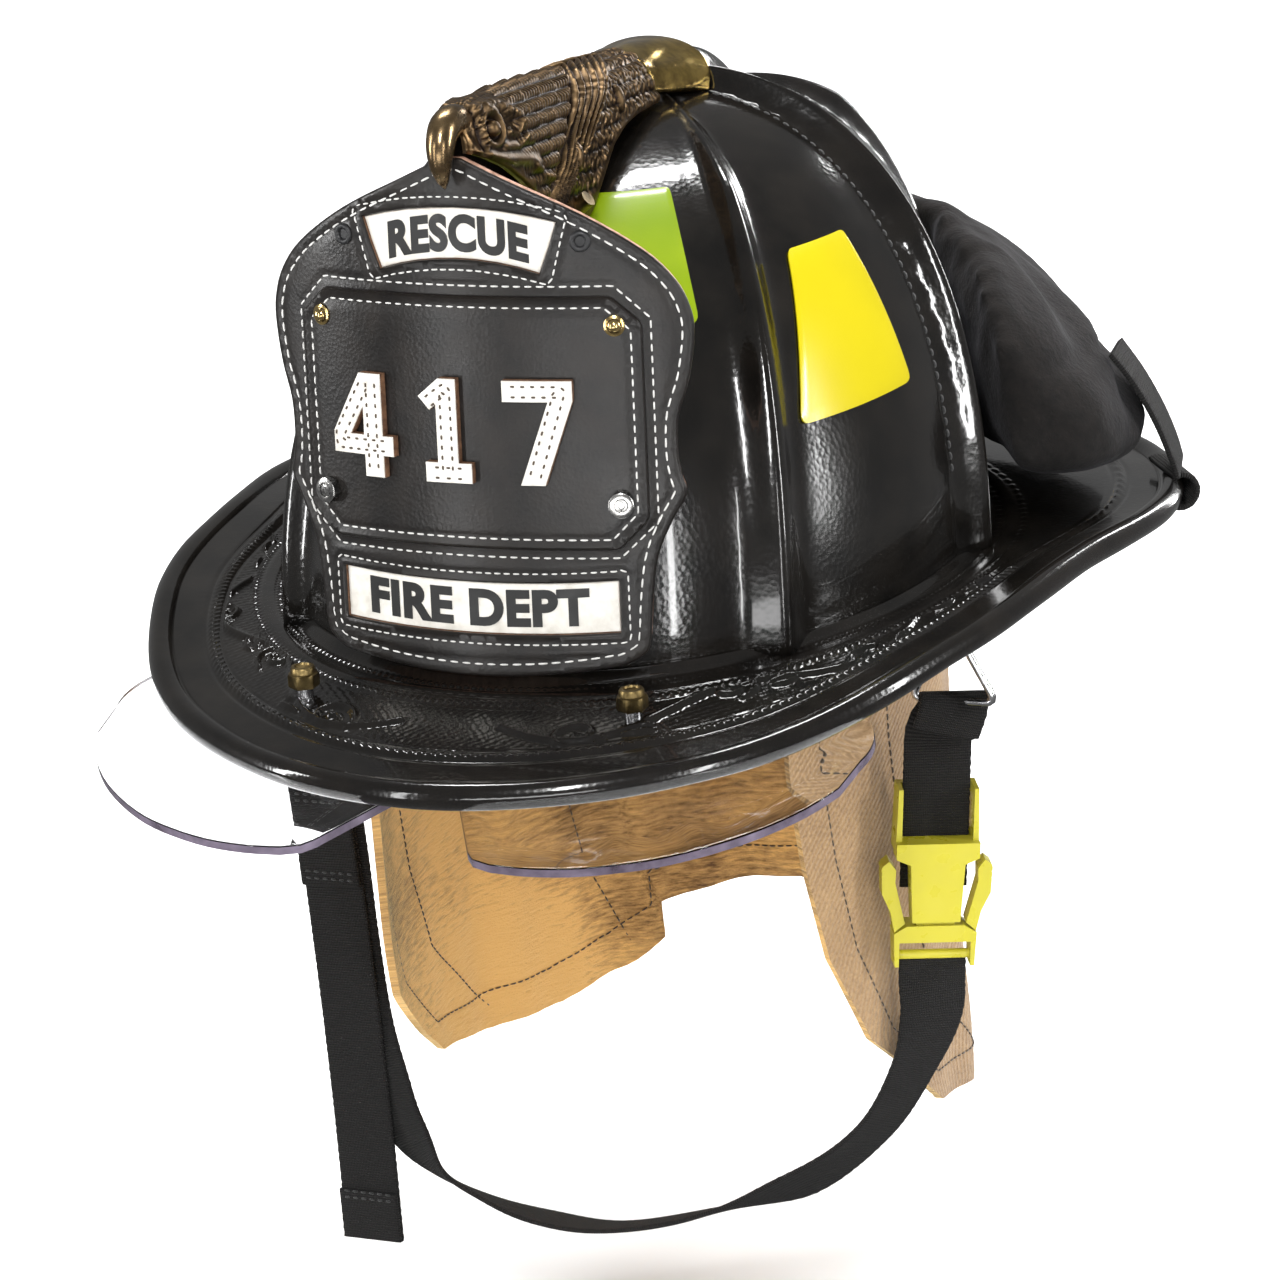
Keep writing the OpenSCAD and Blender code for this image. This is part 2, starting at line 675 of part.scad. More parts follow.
strap_route = [[101.4, strap_y - 3.5, -117], [100, strap_y - 1.5, -127], [98.5, strap_y, -140], [92.5, strap_y, -157],
    [77, strap_y, -182], [50, strap_y, -204], [14, strap_y, -219], [-18, strap_y, -227],
    [-43, strap_y, -226], [-63, strap_y, -221], [-79, strap_y, -213], [-90, strap_y, -198],
    [-96, strap_y, -180], [-101, strap_y, -160], [-103, strap_y, -130], [-104, strap_y, -100],
    [-106, strap_y, -70], [-110, strap_y, -36]];
strap_faces = [[0.5, -1, 0], [0.5, -1, 0], [0.8, -0.9, 0], [1, -0.55, 0], [1, -0.4, 0], [1, -0.4, 0],
    [0.3, -0.3, -1], [0, -0.3, -1], [0, -0.3, -1], [0, -0.5, -1], [-0.3, -0.6, -0.6], [-0.4, -1, 0],
    [-0.2, -1, 0], [0, -1, 0], [0, -1, 0], [0, -1, 0], [0, -1, 0], [0, -1, 0]];

module chin_strap() {
    color(webbing_black) webbing(strap_route, strap_faces);
}

// The webbing between the ring and the buckle, drawn straight in the buckle's own frame.
module strap_hanger() {
    color(webbing_black) at_buckle() webbing([[3.8, -4.6, 57.4], [3.2, -3.6, 53], [1.2, -1.2, 49], [0, 0, 45.5], [0, 0, -4]],
        [[-0.3, -1, 0], [-0.2, -1, 0], [0, -1, 0], [0, -1, 0], [0, -1, 0]]);
}

module strap_tail() {
    y = strap_y - webbing_t - 0.1;
    color(webbing_black) webbing([[-111, y, -36], [-107, y, -90], [-105, y, -140],
        [-104, y, -190], [-104, y, -240]], [for (k = [0:4]) [0, -1, 0]]);
}

module at_buckle() {
    translate(buckle_at) rotate([0, buckle_tilt, buckle_yaw]) children();
}

// A plate drawn in the buckle's own front view, between two depths.
module buckle_slab(front, back) {
    translate([0, back, 0]) rotate([90, 0, 0]) linear_extrude(back - front) children();
}

module buckle_plug() {
    color(buckle_yellow) at_buckle() {
        buckle_slab(-7.6, 0.8) polygon([[-13, -17], [-9, -14.5], [9, -14.5], [13, -17], [12.5, -28],
            [11.2, -28], [11.2, -20], [-11.2, -20], [-11.2, -28], [-12.5, -28]]);
        translate([-11.8, -3, -25.5]) rotate([0, 90, 0]) cylinder(h = 23.6, r = 1.5, $fn = 24);
        translate([-6, tongue_y - 1.6, -15]) cube([12, 3.2, 21]);
    }
}

// A sprung arm of the plug, drawn for the outer side.
module plug_arm(side) {
    color(buckle_yellow) at_buckle() mirrored(side) difference() {
        buckle_slab(-7, -0.6) polygon([[12.8, -16.6], [14.2, -10], [17, -4], [17.4, 5], [15, 7],
            [12.8, 4], [13, 0], [11.8, -5], [9.6, -13.8]]);
        for (k = [0:4]) translate([17.8, -10, -3 + k * 2]) rotate([-90, 0, 0]) cylinder(h = 12, r = 0.7, $fn = 16);
    }
}

module plug_arm_front() {
    plug_arm(-1);
}

module plug_arm_rear() {
    plug_arm(1);
}

module buckle_socket() {
    color(buckle_yellow) at_buckle() difference() {
        union() {
            buckle_slab(socket_front, socket_back) polygon([[-7.5, -13], [7.5, -13], [8.5, 6], [13, 8],
                [13, 13], [-13, 13], [-13, 8], [-8.5, 6]]);
            buckle_slab(-6, 4) polygon([[-13, 9], [13, 9], [12.5, 30], [-12.5, 30]]);
        }
        translate([-6.4, tongue_y - 2, -20]) cube([12.8, 4, 28]);
        translate([-11.1, -20, 13]) cube([22.2, 21.2, 20]);
        translate([-11.1, socket_back, 4]) cube([22.2, 2.3, 30]);
        translate([-11.1, -20, 14]) cube([22.2, 40, 12.5]);
    }
}

// ---------------------------------------------------------------- rear fittings

// Soft cover over the goggles stowed behind the crown.
// Across the goggle cover at its fullest: distance out from the crown, and height.
cover_section = [[8, 91], [17, 90], [29, 79], [42, 62], [54, 43], [65, 22], [63, 9], [50, 3.5], [30, 3],
    [12, 5], [7, 16], [7, 50]];

module goggle_cover() {
    steps = 28;
    from = 103;
    function ring(t) = let (g = pow(max(0.0001, sin((t - from) / (360 - 2 * from) * 180)), 0.2))
        let (wide = 0.66 + 0.34 * max(0, min(1, (abs(t - 180) - 8) / 40)))
        [for (s = cover_section) let (rho = 14 + (s[0] - 14) * g * wide, z = 34 + (s[1] - 34) * g)
            let (f = asin(min(1, pow(max(z, 0) / crown_height, crown_squareness / 2))))
            let (base = crown_point(t, f, comb(t, f) * 0.6))
            [base[0] + sin(t) * rho, base[1] - cos(t) * rho, z]];
    color([0.06, 0.06, 0.06]) loft([for (k = [0:steps])
        let (t = from + 0.5 + (359 - 2 * from) * k / steps) ring(t)]);
}

module cover_strap() {
    color(webbing_black) webbing([[129.5, 93, 44], [136.5, 93.5, 34], [142.5, 94.5, 22], [146.5, 96, 10], [148, 96.5, 3.5]],
        [[1, 0.25, 0.8], [1, 0.25, 0.5], [1, 0.25, 0.3], [1, 0.25, 0.1], [1, 0.25, 0]], 26, 2);
}

module cover_tab() {
    t = 126;
    color(webbing_black) loft([for (k = [-1:1]) let (q = t + k * 4, p = brim_point(q, 1, 2) + [sin(q), -cos(q), 0] * 3.8)
        [for (a = [0:11]) let (w = -a * 30) p + [sin(q) * (cos(w) * 7), -cos(q) * (cos(w) * 7), sin(w) * 7]]]);
}

module rear_hanger_plate() {
    color("darkgoldenrod") translate(hanger_at) {
        for (x = [-9, 5]) translate([x, -2.5, -2]) cube([4, 5, 7]);
        translate([-9, -7, 3.4]) cube([18, 14, 1.6]);
        translate([-9, 0, 0]) rotate([0, 90, 0]) cylinder(h = 18, r = 1.3, $fn = 32);
    }
}

module rear_hanger_ring() {
    reach = 14;
    color("goldenrod") translate(hanger_at) {
        rotate([0, 90, 0]) translate([0, 0, -4.5]) difference() {
            cylinder(h = 9, r = 2.8, $fn = 48);
            translate([0, 0, -1]) cylinder(h = 12, r = 1.3 + pin_clearance, $fn = 48);
        }
        translate([0, 0, -reach]) rotate([90, 0, 0]) rotate_extrude($fn = 64) translate([10, 0]) circle(r = 1.6, $fn = 24);
    }
}

module rear_screw() {
    color("goldenrod") translate([hanger_at[0], hanger_at[1], -14]) {
        cylinder(h = 14, r = 2, $fn = 32);
        translate([0, 0, 13]) cylinder(h = 2, r = 4, $fn = 32);
    }
}

crown_shell();
brim();
brim_edge_roll();
edge_wire();
impact_cap();
crest_eagle();
crest_beak();
crest_flare();
crest_screws();
front_shield();
number_panel();
shield_numerals();
top_plate();
bottom_plate();
shield_studs();
shield_nuts();
shield_eyelets();
markers_lime();
markers_yellow();
headband();
brow_pad();
crown_straps();
crown_pad();
ratchet_housing();
ratchet_knob();
band_tail_left();
band_tail_right();
lens_bracket_left();
lens_bracket_right();
lens_pin_left();
lens_pin_right();
lens_clip_left();
lens_clip_right();
lens_left();
lens_right();
lens_rivets_left();
lens_rivets_right();
bracket_bolts();
bracket_nuts();
neck_curtain();
strap_staples();
strap_rings();
chin_strap();
strap_hanger();
strap_tail();
buckle_plug();
plug_arm_front();
plug_arm_rear();
buckle_socket();
goggle_cover();
cover_strap();
cover_tab();
rear_hanger_plate();
rear_hanger_ring();
rear_screw();
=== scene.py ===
import math
import random

import bmesh
import bpy
import numpy as np
from mathutils import Matrix, Vector
from mathutils.kdtree import KDTree


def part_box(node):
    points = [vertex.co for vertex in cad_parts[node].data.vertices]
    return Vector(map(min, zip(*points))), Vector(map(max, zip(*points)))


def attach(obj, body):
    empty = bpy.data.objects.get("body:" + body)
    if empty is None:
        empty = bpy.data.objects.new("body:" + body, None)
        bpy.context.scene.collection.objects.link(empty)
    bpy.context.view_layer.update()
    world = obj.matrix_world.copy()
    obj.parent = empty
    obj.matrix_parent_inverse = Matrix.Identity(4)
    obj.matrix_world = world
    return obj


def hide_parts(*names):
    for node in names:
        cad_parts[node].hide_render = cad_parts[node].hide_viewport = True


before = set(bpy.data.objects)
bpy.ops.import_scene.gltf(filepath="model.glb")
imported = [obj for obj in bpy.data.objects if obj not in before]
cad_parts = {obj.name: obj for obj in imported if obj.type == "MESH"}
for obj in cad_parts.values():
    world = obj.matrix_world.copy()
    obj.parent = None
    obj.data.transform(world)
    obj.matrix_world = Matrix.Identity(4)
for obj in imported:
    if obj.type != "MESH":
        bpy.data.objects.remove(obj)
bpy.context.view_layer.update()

MM = 0.001
rng = random.Random(7)

# ------------------------------------------------------------------ sizes, in millimetres

CROWN_HALF_WIDTH, CROWN_HALF_LENGTH, CROWN_HEIGHT = 105.3, 125.4, 143.0
CROWN_LEAN, CROWN_LEAN_POWER, CROWN_SQUARENESS = 31.0, 1.5, 2.3
COMB_HEIGHT, LEATHER = 7.0, 3.6
COMB_AT = np.array([0, 48, 97, 141, 180, 219, 263, 312, 360.0])
BRIM_THICKNESS, EDGE_ROLL_R, BRIM_LAP = 4.0, 4.2, 5.0
BRIM_REACH = [182, 171, 151, 145, 171, 198, 211]
BRIM_RISE = [-12.6, -9, 3, 5.7, -0.5, -9.7, -19]
BRIM_STATION = 30.0
SHIELD_FOOT = np.array([0, -129.1, 6.9])
SHIELD_CURVE_R, SHIELD_LEAN, SHIELD_LEATHER = 149.0, 5.0, 3.2
SHIELD_OUTLINE = [(0, 46), (2, 50), (6, 53.5), (21, 55), (33, 57), (43, 61.5), (51, 66), (56, 65),
                  (63, 64), (74, 64.5), (85, 68), (98, 70), (106, 69), (114, 65), (123, 56), (134, 38),
                  (144, 16), (150, 3)]
PANEL_T, PLATE_DEPTH = 1.6, 1.5
STUD_U, STUD_V, NUT_V = 47.0, 101.5, 49.0
HINGE_Y, HINGE_Z, HINGE_X = -104.0, -10.4, 56.0
LENS_SLOPE, LENS_T = 10.0, 3.0
CURTAIN_HALF_WIDTH, CURTAIN_HALF_LENGTH, CURTAIN_REAR, CURTAIN_T = 89.0, 108.0, 117.0, 2.4
STRAP_Y, WEBBING_W, WEBBING_T = -28.0, 21.0, 1.6

# ------------------------------------------------------------------ camera

AZIMUTH, ELEVATION, ROLL = 23.774, 19.08, -4.502
CAMERA_DISTANCE, LENS_MM = 1.63185, 143.8
CAMERA_TARGET = Vector((-0.00336, 0.0, -0.0315))


def make_camera():
    a, e, r = (math.radians(v) for v in (AZIMUTH, ELEVATION, ROLL))
    back = Vector((math.sin(a) * math.cos(e), -math.cos(a) * math.cos(e), math.sin(e)))
    right = Vector((math.cos(a), math.sin(a), 0))
    up = back.cross(right)
    right, up = right * math.cos(r) + up * math.sin(r), -right * math.sin(r) + up * math.cos(r)
    data = bpy.data.cameras.new("camera")
    data.lens, data.sensor_width = LENS_MM, 36
    data.clip_start, data.clip_end = 0.05, 30
    cam = bpy.data.objects.new("camera", data)
    bpy.context.collection.objects.link(cam)
    cam.matrix_world = Matrix.Translation(CAMERA_TARGET + back * CAMERA_DISTANCE) @ \
        Matrix((right, up, back)).transposed().to_4x4()
    bpy.context.scene.camera = cam


make_camera()

# ------------------------------------------------------------------ material tools


class Shade:
    """A procedural material with small helpers for its nodes."""

    def __init__(self, name, base, rough=0.5, metallic=0.0, **sockets):
        self.mat = bpy.data.materials.new(name)
        self.mat.use_nodes = True
        self.tree = self.mat.node_tree
        self.bsdf = self.tree.nodes["Principled BSDF"]
        self.put("Base Color", (*base, 1))
        self.put("Roughness", rough)
        self.put("Metallic", metallic)
        for key, value in sockets.items():
            self.put(key.replace("_", " "), value)
        self.coords = self.node("ShaderNodeTexCoord").outputs["Object"]
        self.height = None

    def node(self, kind, **settings):
        n = self.tree.nodes.new(kind)
        for key, value in settings.items():
            setattr(n, key, value)
        return n

    def wire(self, a, b):
        self.tree.links.new(a, b)

    def put(self, socket, value):
        if hasattr(value, "is_linked"):
            self.wire(value, self.bsdf.inputs[socket])
        else:
            self.bsdf.inputs[socket].default_value = value

    def uv(self):
        return self.node("ShaderNodeTexCoord").outputs["UV"]

    def scaled(self, coords, scale):
        m = self.node("ShaderNodeMapping")
        m.inputs["Scale"].default_value = scale
        self.wire(coords, m.inputs["Vector"])
        return m.outputs["Vector"]

    def noise(self, scale, detail=3.0, rough=0.55, coords=None):
        n = self.node("ShaderNodeTexNoise")
        n.inputs["Scale"].default_value = scale
        n.inputs["Detail"].default_value = detail
        n.inputs["Roughness"].default_value = rough
        self.wire(coords or self.coords, n.inputs["Vector"])
        return n.outputs["Fac"]

    def cells(self, scale, feature="F1", coords=None, randomness=1.0):
        n = self.node("ShaderNodeTexVoronoi", feature=feature)
        n.inputs["Scale"].default_value = scale
        n.inputs["Randomness"].default_value = randomness
        self.wire(coords or self.coords, n.inputs["Vector"])
        return n.outputs["Distance"]

    def wave(self, scale, distortion=0.0, coords=None, direction="X", detail=1.0):
        n = self.node("ShaderNodeTexWave", bands_direction=direction)
        n.inputs["Scale"].default_value = scale
        n.inputs["Distortion"].default_value = distortion
        n.inputs["Detail"].default_value = detail
        self.wire(coords or self.coords, n.inputs["Vector"])
        return n.outputs["Fac"]

    def ramp(self, fac, low, high, a=0.0, b=1.0):
        """Maps fac from low..high to a..b, clamped."""
        n = self.node("ShaderNodeMapRange")
        for key, value in (("From Min", low), ("From Max", high), ("To Min", a), ("To Max", b)):
            n.inputs[key].default_value = value
        self.wire(fac, n.inputs["Value"])
        return n.outputs["Result"]

    def math(self, op, a, b=None):
        n = self.node("ShaderNodeMath", operation=op)
        for i, v in enumerate((a, b)):
            if v is None:
                continue
            if hasattr(v, "is_linked"):
                self.wire(v, n.inputs[i])
            else:
                n.inputs[i].default_value = v
        return n.outputs[0]

    def mix(self, fac, a, b):
        n = self.node("ShaderNodeMix", data_type="RGBA")
        self.wire(fac, n.inputs["Factor"])
        for key, v in (("A", a), ("B", b)):
            s = [i for i in n.inputs if i.name == key and i.type == "RGBA"][0]
            if hasattr(v, "is_linked"):
                self.wire(v, s)
            else:
                s.default_value = (*v, 1)
        return [o for o in n.outputs if o.type == "RGBA"][0]

    def bump(self, height, distance, strength=1.0):
        n = self.node("ShaderNodeBump")
        n.inputs["Distance"].default_value = distance
        n.inputs["Strength"].default_value = strength
        self.wire(height, n.inputs["Height"])
        if self.height is not None:
            self.wire(self.height, n.inputs["Normal"])
        self.height = n.outputs["Normal"]
        self.wire(self.height, self.bsdf.inputs["Normal"])


# ------------------------------------------------------------------ materials


def lacquered_leather():
    s = Shade("lacquered_leather", (0.004, 0.004, 0.004), 0.16, Coat_Weight=0.5, Coat_Roughness=0.05,
              Specular_IOR_Level=0.4)
    s.put("Roughness", s.ramp(s.noise(14, 4), 0.3, 0.75, 0.10, 0.26))
    s.put("Base Color", s.mix(s.ramp(s.noise(60, 5), 0.35, 0.8), (0.003, 0.0026, 0.0022), (0.009, 0.0075, 0.006)))
    s.bump(s.noise(26, 3), 0.0006, 0.5)
    s.bump(s.cells(620), 0.00012, 0.35)
    return s.mat


def shield_leather():
    s = Shade("shield_leather", (0.006, 0.005, 0.004), 0.34, Coat_Weight=0.1, Coat_Roughness=0.25,
              Specular_IOR_Level=0.4)
    s.put("Roughness", s.ramp(s.noise(22, 4), 0.3, 0.75, 0.28, 0.46))
    s.put("Base Color", s.mix(s.ramp(s.noise(90, 5), 0.35, 0.8), (0.005, 0.004, 0.0035), (0.013, 0.010, 0.008)))
    s.bump(s.cells(900), 0.00015, 0.35)
    s.bump(s.noise(160, 4), 0.0002, 0.4)
    return s.mat


def raw_edge():
    s = Shade("raw_leather_edge", (0.30, 0.16, 0.10), 0.75)
    s.put("Base Color", s.mix(s.ramp(s.noise(420, 5), 0.3, 0.7), (0.16, 0.075, 0.045), (0.50, 0.30, 0.22)))
    s.bump(s.noise(900, 4), 0.0003, 0.7)
    return s.mat


def brown_edge():
    s = Shade("brown_leather_edge", (0.10, 0.045, 0.02), 0.7)
    s.put("Base Color", s.mix(s.ramp(s.noise(500, 5), 0.3, 0.7), (0.06, 0.025, 0.012), (0.20, 0.10, 0.05)))
    s.bump(s.noise(900, 4), 0.0003, 0.7)
    return s.mat


def white_leather():
    s = Shade("white_leather", (0.8, 0.79, 0.74), 0.42, Coat_Weight=0.1)
    s.put("Base Color", s.mix(s.ramp(s.noise(180, 5), 0.35, 0.8), (0.72, 0.70, 0.65), (0.50, 0.47, 0.41)))
    s.bump(s.cells(700), 0.0002, 0.3)
    return s.mat


def thread(name, color):
    s = Shade(name, color, 0.6, Sheen_Weight=0.3)
    s.put("Base Color", s.mix(s.ramp(s.noise(700, 3), 0.3, 0.7), tuple(c * 0.75 for c in color), color))
    s.bump(s.wave(1400, 0.4, direction="DIAGONAL"), 0.00012, 0.6)
    return s.mat


def aged_metal(name, dark, bright, rough=(0.28, 0.5), scale=40):
    s = Shade(name, bright, 0.35, 1.0)
    grime = s.ramp(s.noise(scale, 6, 0.65), 0.36, 0.62)
    s.put("Base Color", s.mix(grime, dark, bright))
    s.put("Roughness", s.ramp(s.noise(scale * 2.3, 4), 0.3, 0.7, *rough))
    s.bump(s.noise(scale * 9, 4), 0.00008, 0.3)
    return s.mat


def crest_bronze():
    """Antiqued casting: dark in its hollows, rubbed bright on its high points."""
    s = Shade("crest_bronze", (0.3, 0.2, 0.11), 0.38, 1.0)
    high = s.node("ShaderNodeNewGeometry").outputs["Pointiness"]
    rubbed = s.ramp(high, 0.47, 0.56)
    worn = s.math("MULTIPLY", rubbed, s.ramp(s.noise(120, 5), 0.25, 0.7, 0.5, 1.0))
    s.put("Base Color", s.mix(worn, (0.022, 0.016, 0.013), (0.30, 0.19, 0.09)))
    s.put("Roughness", s.ramp(s.noise(200, 4), 0.3, 0.7, 0.26, 0.5))
    s.bump(s.noise(420, 5), 0.0004, 0.45)
    return s.mat


def moulded_plastic(name, color, rough=0.32, speckle=0.9):
    s = Shade(name, color, rough, Specular_IOR_Level=0.5)
    s.put("Base Color", s.mix(s.ramp(s.noise(35, 4), 0.3, 0.75), color, tuple(c * speckle for c in color)))
    s.put("Roughness", s.ramp(s.noise(150, 3), 0.3, 0.7, rough * 0.8, rough * 1.3))
    s.bump(s.noise(1200, 2), 0.00006, 0.4)
    return s.mat


def reflective_film_painted_glow(name, color, shade):
    # The emission is a painted glow in the film's own tone: the film is no lamp.
    s = Shade(name, color, 0.22, Coat_Weight=0.25, Coat_Roughness=0.08, Emission_Strength=0.04)
    tone = s.mix(s.ramp(s.noise(28, 2), 0.35, 0.7), color, shade)
    s.put("Base Color", tone)
    s.put("Emission Color", tone)
    s.bump(s.cells(900, randomness=0.0), 0.00004, 0.3)
    return s.mat


def woven(name, color, dark, pitch_u, pitch_v, depth, rough=0.9, sheen=0.4, uv=True):
    """Cloth woven along its UVs, which are in metres."""
    s = Shade(name, color, rough, Sheen_Weight=sheen, Sheen_Roughness=0.4)
    base = s.uv() if uv else s.coords
    warp = s.wave(1 / pitch_u / 6.2832 * 3.1416, 0.6, s.scaled(base, (1, 1, 1)), "X")
    weft = s.wave(1 / pitch_v / 6.2832 * 3.1416, 0.6, s.scaled(base, (1, 1, 1)), "Y")
    cloth = s.math("MULTIPLY", warp, weft)
    tone = s.math("ADD", s.math("MULTIPLY", cloth, 0.5), s.math("MULTIPLY", s.noise(55, 5), 0.7))
    s.put("Base Color", s.mix(s.ramp(tone, 0.2, 0.95), dark, color))
    s.bump(cloth, depth, 0.9)
    s.bump(s.noise(900, 3), 0.0003, 0.3)
    return s.mat


def webbing_cloth():
    s = Shade("black_webbing", (0.008, 0.008, 0.009), 0.85, Sheen_Weight=0.02, Sheen_Roughness=0.35)
    uv = s.uv()
    ribs = s.wave(1 / 0.0014 / 6.2832 * 3.1416, 0.35, uv, "Y")
    yarn = s.wave(1 / 0.0009 / 6.2832 * 3.1416, 0.5, uv, "X")
    cloth = s.math("ADD", s.math("MULTIPLY", ribs, 0.75), s.math("MULTIPLY", yarn, 0.35))
    s.put("Base Color", s.mix(s.ramp(cloth, 0.1, 1.0), (0.0015, 0.0014, 0.0013), (0.011, 0.0095, 0.0085)))
    s.bump(cloth, 0.0006, 0.9)
    s.bump(s.noise(1500, 3), 0.0003, 0.4)
    return s.mat


def curtain_outside():
    s = Shade("curtain_twill", (0.42, 0.25, 0.11), 0.9, Sheen_Weight=0.25, Sheen_Roughness=0.5)
    uv = s.uv()
    twill = s.wave(260, 0.1, uv, "DIAGONAL", 1)
    fleck = s.noise(900, 5, 0.7)
    patch = s.noise(24, 5)
    tone = s.math("ADD", s.math("MULTIPLY", fleck, 0.75), s.math("MULTIPLY", patch, 0.35))
    s.put("Base Color", s.mix(s.ramp(tone, 0.38, 0.72), (0.19, 0.108, 0.046), (0.43, 0.275, 0.13)))
    s.bump(twill, 0.0004, 0.5)
    s.bump(fleck, 0.0007, 0.6)
    return s.mat


def curtain_inside():
    s = Shade("curtain_nap", (0.52, 0.31, 0.10), 0.85, Sheen_Weight=0.8, Sheen_Roughness=0.35)
    s.bsdf.inputs["Sheen Tint"].default_value = (1.0, 0.82, 0.45, 1)
    uv = s.uv()
    ribs = s.noise(420, 4, 0.7, s.scaled(uv, (0.35, 1.6, 1)))
    patch = s.noise(9, 5)
    tone = s.math("ADD", s.math("MULTIPLY", ribs, 0.42), s.math("MULTIPLY", patch, 0.68))
    s.put("Base Color", s.mix(s.ramp(tone, 0.44, 0.62), (0.12, 0.058, 0.02), (0.72, 0.42, 0.135)))
    s.bump(ribs, 0.0011, 0.7)
    s.bump(s.noise(1400, 3), 0.0005, 0.5)
    return s.mat


def cover_cloth():
    s = Shade("cover_cloth", (0.004, 0.004, 0.004), 0.95, Sheen_Weight=0.12, Sheen_Roughness=0.4)
    s.bsdf.inputs["Sheen Tint"].default_value = (0.25, 0.25, 0.28, 1)
    s.put("Base Color", s.mix(s.ramp(s.noise(260, 6, 0.7), 0.35, 0.75), (0.0022, 0.0016, 0.0013), (0.0085, 0.0062, 0.0052)))
    s.bump(s.noise(700, 4, 0.65), 0.0006, 0.6)
    s.bump(s.noise(45, 4), 0.003, 0.5)
    return s.mat


def clear_lens():
    s = Shade("clear_lens", (0.97, 0.975, 0.985), 0.02, IOR=1.3, Transmission_Weight=1.0)
    s.put("Roughness", s.ramp(s.noise(60, 6), 0.55, 0.8, 0.01, 0.05))
    s.bump(s.noise(9, 2), 0.002, 0.15)
    return s.mat


def lens_edge():
    s = Shade("lens_edge", (0.26, 0.22, 0.27), 0.12, IOR=1.4, Transmission_Weight=0.35, Coat_Weight=0.5)
    s.put("Base Color", s.mix(s.ramp(s.noise(90, 4), 0.3, 0.7), (0.07, 0.055, 0.08), (0.24, 0.20, 0.27)))
    return s.mat


def foam():
    s = Shade("moulded_foam", (0.05, 0.05, 0.055), 0.9)
    s.put("Base Color", s.mix(s.ramp(s.noise(300, 4), 0.3, 0.7), (0.035, 0.035, 0.04), (0.075, 0.075, 0.08)))
    s.bump(s.cells(420), 0.0008, 0.6)
    return s.mat


def pad_leather():
    s = Shade("pad_leather", (0.16, 0.085, 0.045), 0.55)
    s.put("Base Color", s.mix(s.ramp(s.noise(50, 5), 0.3, 0.7), (0.10, 0.05, 0.025), (0.22, 0.125, 0.07)))
    s.bump(s.cells(650), 0.0004, 0.5)
    return s.mat


BLACK_LEATHER = lacquered_leather()
SHIELD_BLACK = shield_leather()
RAW_EDGE = raw_edge()
BROWN_EDGE = brown_edge()
WHITE_LEATHER = white_leather()
WHITE_THREAD = thread("white_thread", (0.74, 0.73, 0.70))
BLACK_THREAD = thread("black_thread", (0.01, 0.01, 0.01))
BROWN_THREAD = thread("brown_thread", (0.07, 0.045, 0.025))
LETTER_BLACK = moulded_plastic("letter_black", (0.01, 0.01, 0.01), 0.4)
BRONZE = crest_bronze()
BEAK_BRONZE = aged_metal("beak_bronze", (0.10, 0.065, 0.035), (0.36, 0.25, 0.13), (0.18, 0.32), 60)
BRASS = aged_metal("polished_brass", (0.12, 0.075, 0.03), (0.70, 0.50, 0.16), (0.10, 0.24), 50)
AGED_BRASS = aged_metal("aged_brass", (0.05, 0.035, 0.015), (0.26, 0.19, 0.08), (0.28, 0.5), 90)
STUD_BRASS = aged_metal("stud_brass", (0.30, 0.21, 0.08), (0.80, 0.60, 0.26), (0.12, 0.25), 200)
NICKEL = aged_metal("nickel", (0.14, 0.14, 0.14), (0.60, 0.59, 0.57), (0.12, 0.28), 120)
STEEL = aged_metal("plated_steel", (0.40, 0.40, 0.41), (0.74, 0.74, 0.75), (0.16, 0.32), 70)
# The markers are all one film; the front pair's darker, greener copy of it is painted shade.
LIME_FILM_PAINTED_SHADE = reflective_film_painted_glow("lime_film_painted_shade", (0.21, 0.29, 0.004), (0.14, 0.22, 0.002))
YELLOW_FILM = reflective_film_painted_glow("yellow_film", (0.46, 0.38, 0.002), (0.42, 0.35, 0.002))
YELLOW_PLASTIC = moulded_plastic("yellow_plastic", (0.47, 0.42, 0.028), 0.3, 0.94)
BLACK_PLASTIC = moulded_plastic("black_plastic", (0.012, 0.012, 0.013), 0.42)
WEBBING = webbing_cloth()
TWILL = curtain_outside()
NAP = curtain_inside()
COVER = cover_cloth()
CLEAR = clear_lens()
LENS_EDGE = lens_edge()
FOAM = foam()
PAD = pad_leather()

# ------------------------------------------------------------------ mesh tools


def lookup(x, pairs):
    xs, ys = zip(*pairs)
    return np.interp(x, xs, ys)


def unit(v):
    v = np.asarray(v, float)
    return v / np.maximum(np.linalg.norm(v, axis=-1, keepdims=True), 1e-9)


def piece(name, verts, faces, mats, body="helmet", marks=None, uv=None, replaces=(), slot=None, sharp=None,
          tidy=True):
    """A mesh object from points in millimetres, riding on a body of the frame."""
    me = bpy.data.meshes.new(name)
    me.from_pydata((np.asarray(verts, float) * MM).tolist(), [], [list(map(int, f)) for f in faces])
    for m in mats:
        me.materials.append(m)
    if marks is not None:
        me.polygons.foreach_set("material_index", np.asarray(marks, np.int32))
    if uv is not None:
        layer = me.uv_layers.new(name="UVMap")
        loops = np.zeros(len(me.loops), np.int32)
        me.loops.foreach_get("vertex_index", loops)
        layer.data.foreach_set("uv", np.asarray(uv, np.float32)[loops].ravel())
    if tidy:
        bm = bmesh.new()
        bm.from_mesh(me)
        bmesh.ops.recalc_face_normals(bm, faces=bm.faces)
        bm.to_mesh(me)
        bm.free()
    me.polygons.foreach_set("use_smooth", [True] * len(me.polygons))
    if sharp:
        me.set_sharp_from_angle(angle=math.radians(sharp))
    me.update()
    obj = bpy.data.objects.new(name, me)
    bpy.context.collection.objects.link(obj)
    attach(obj, body)
    if replaces:
        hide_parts(*replaces)
    return obj


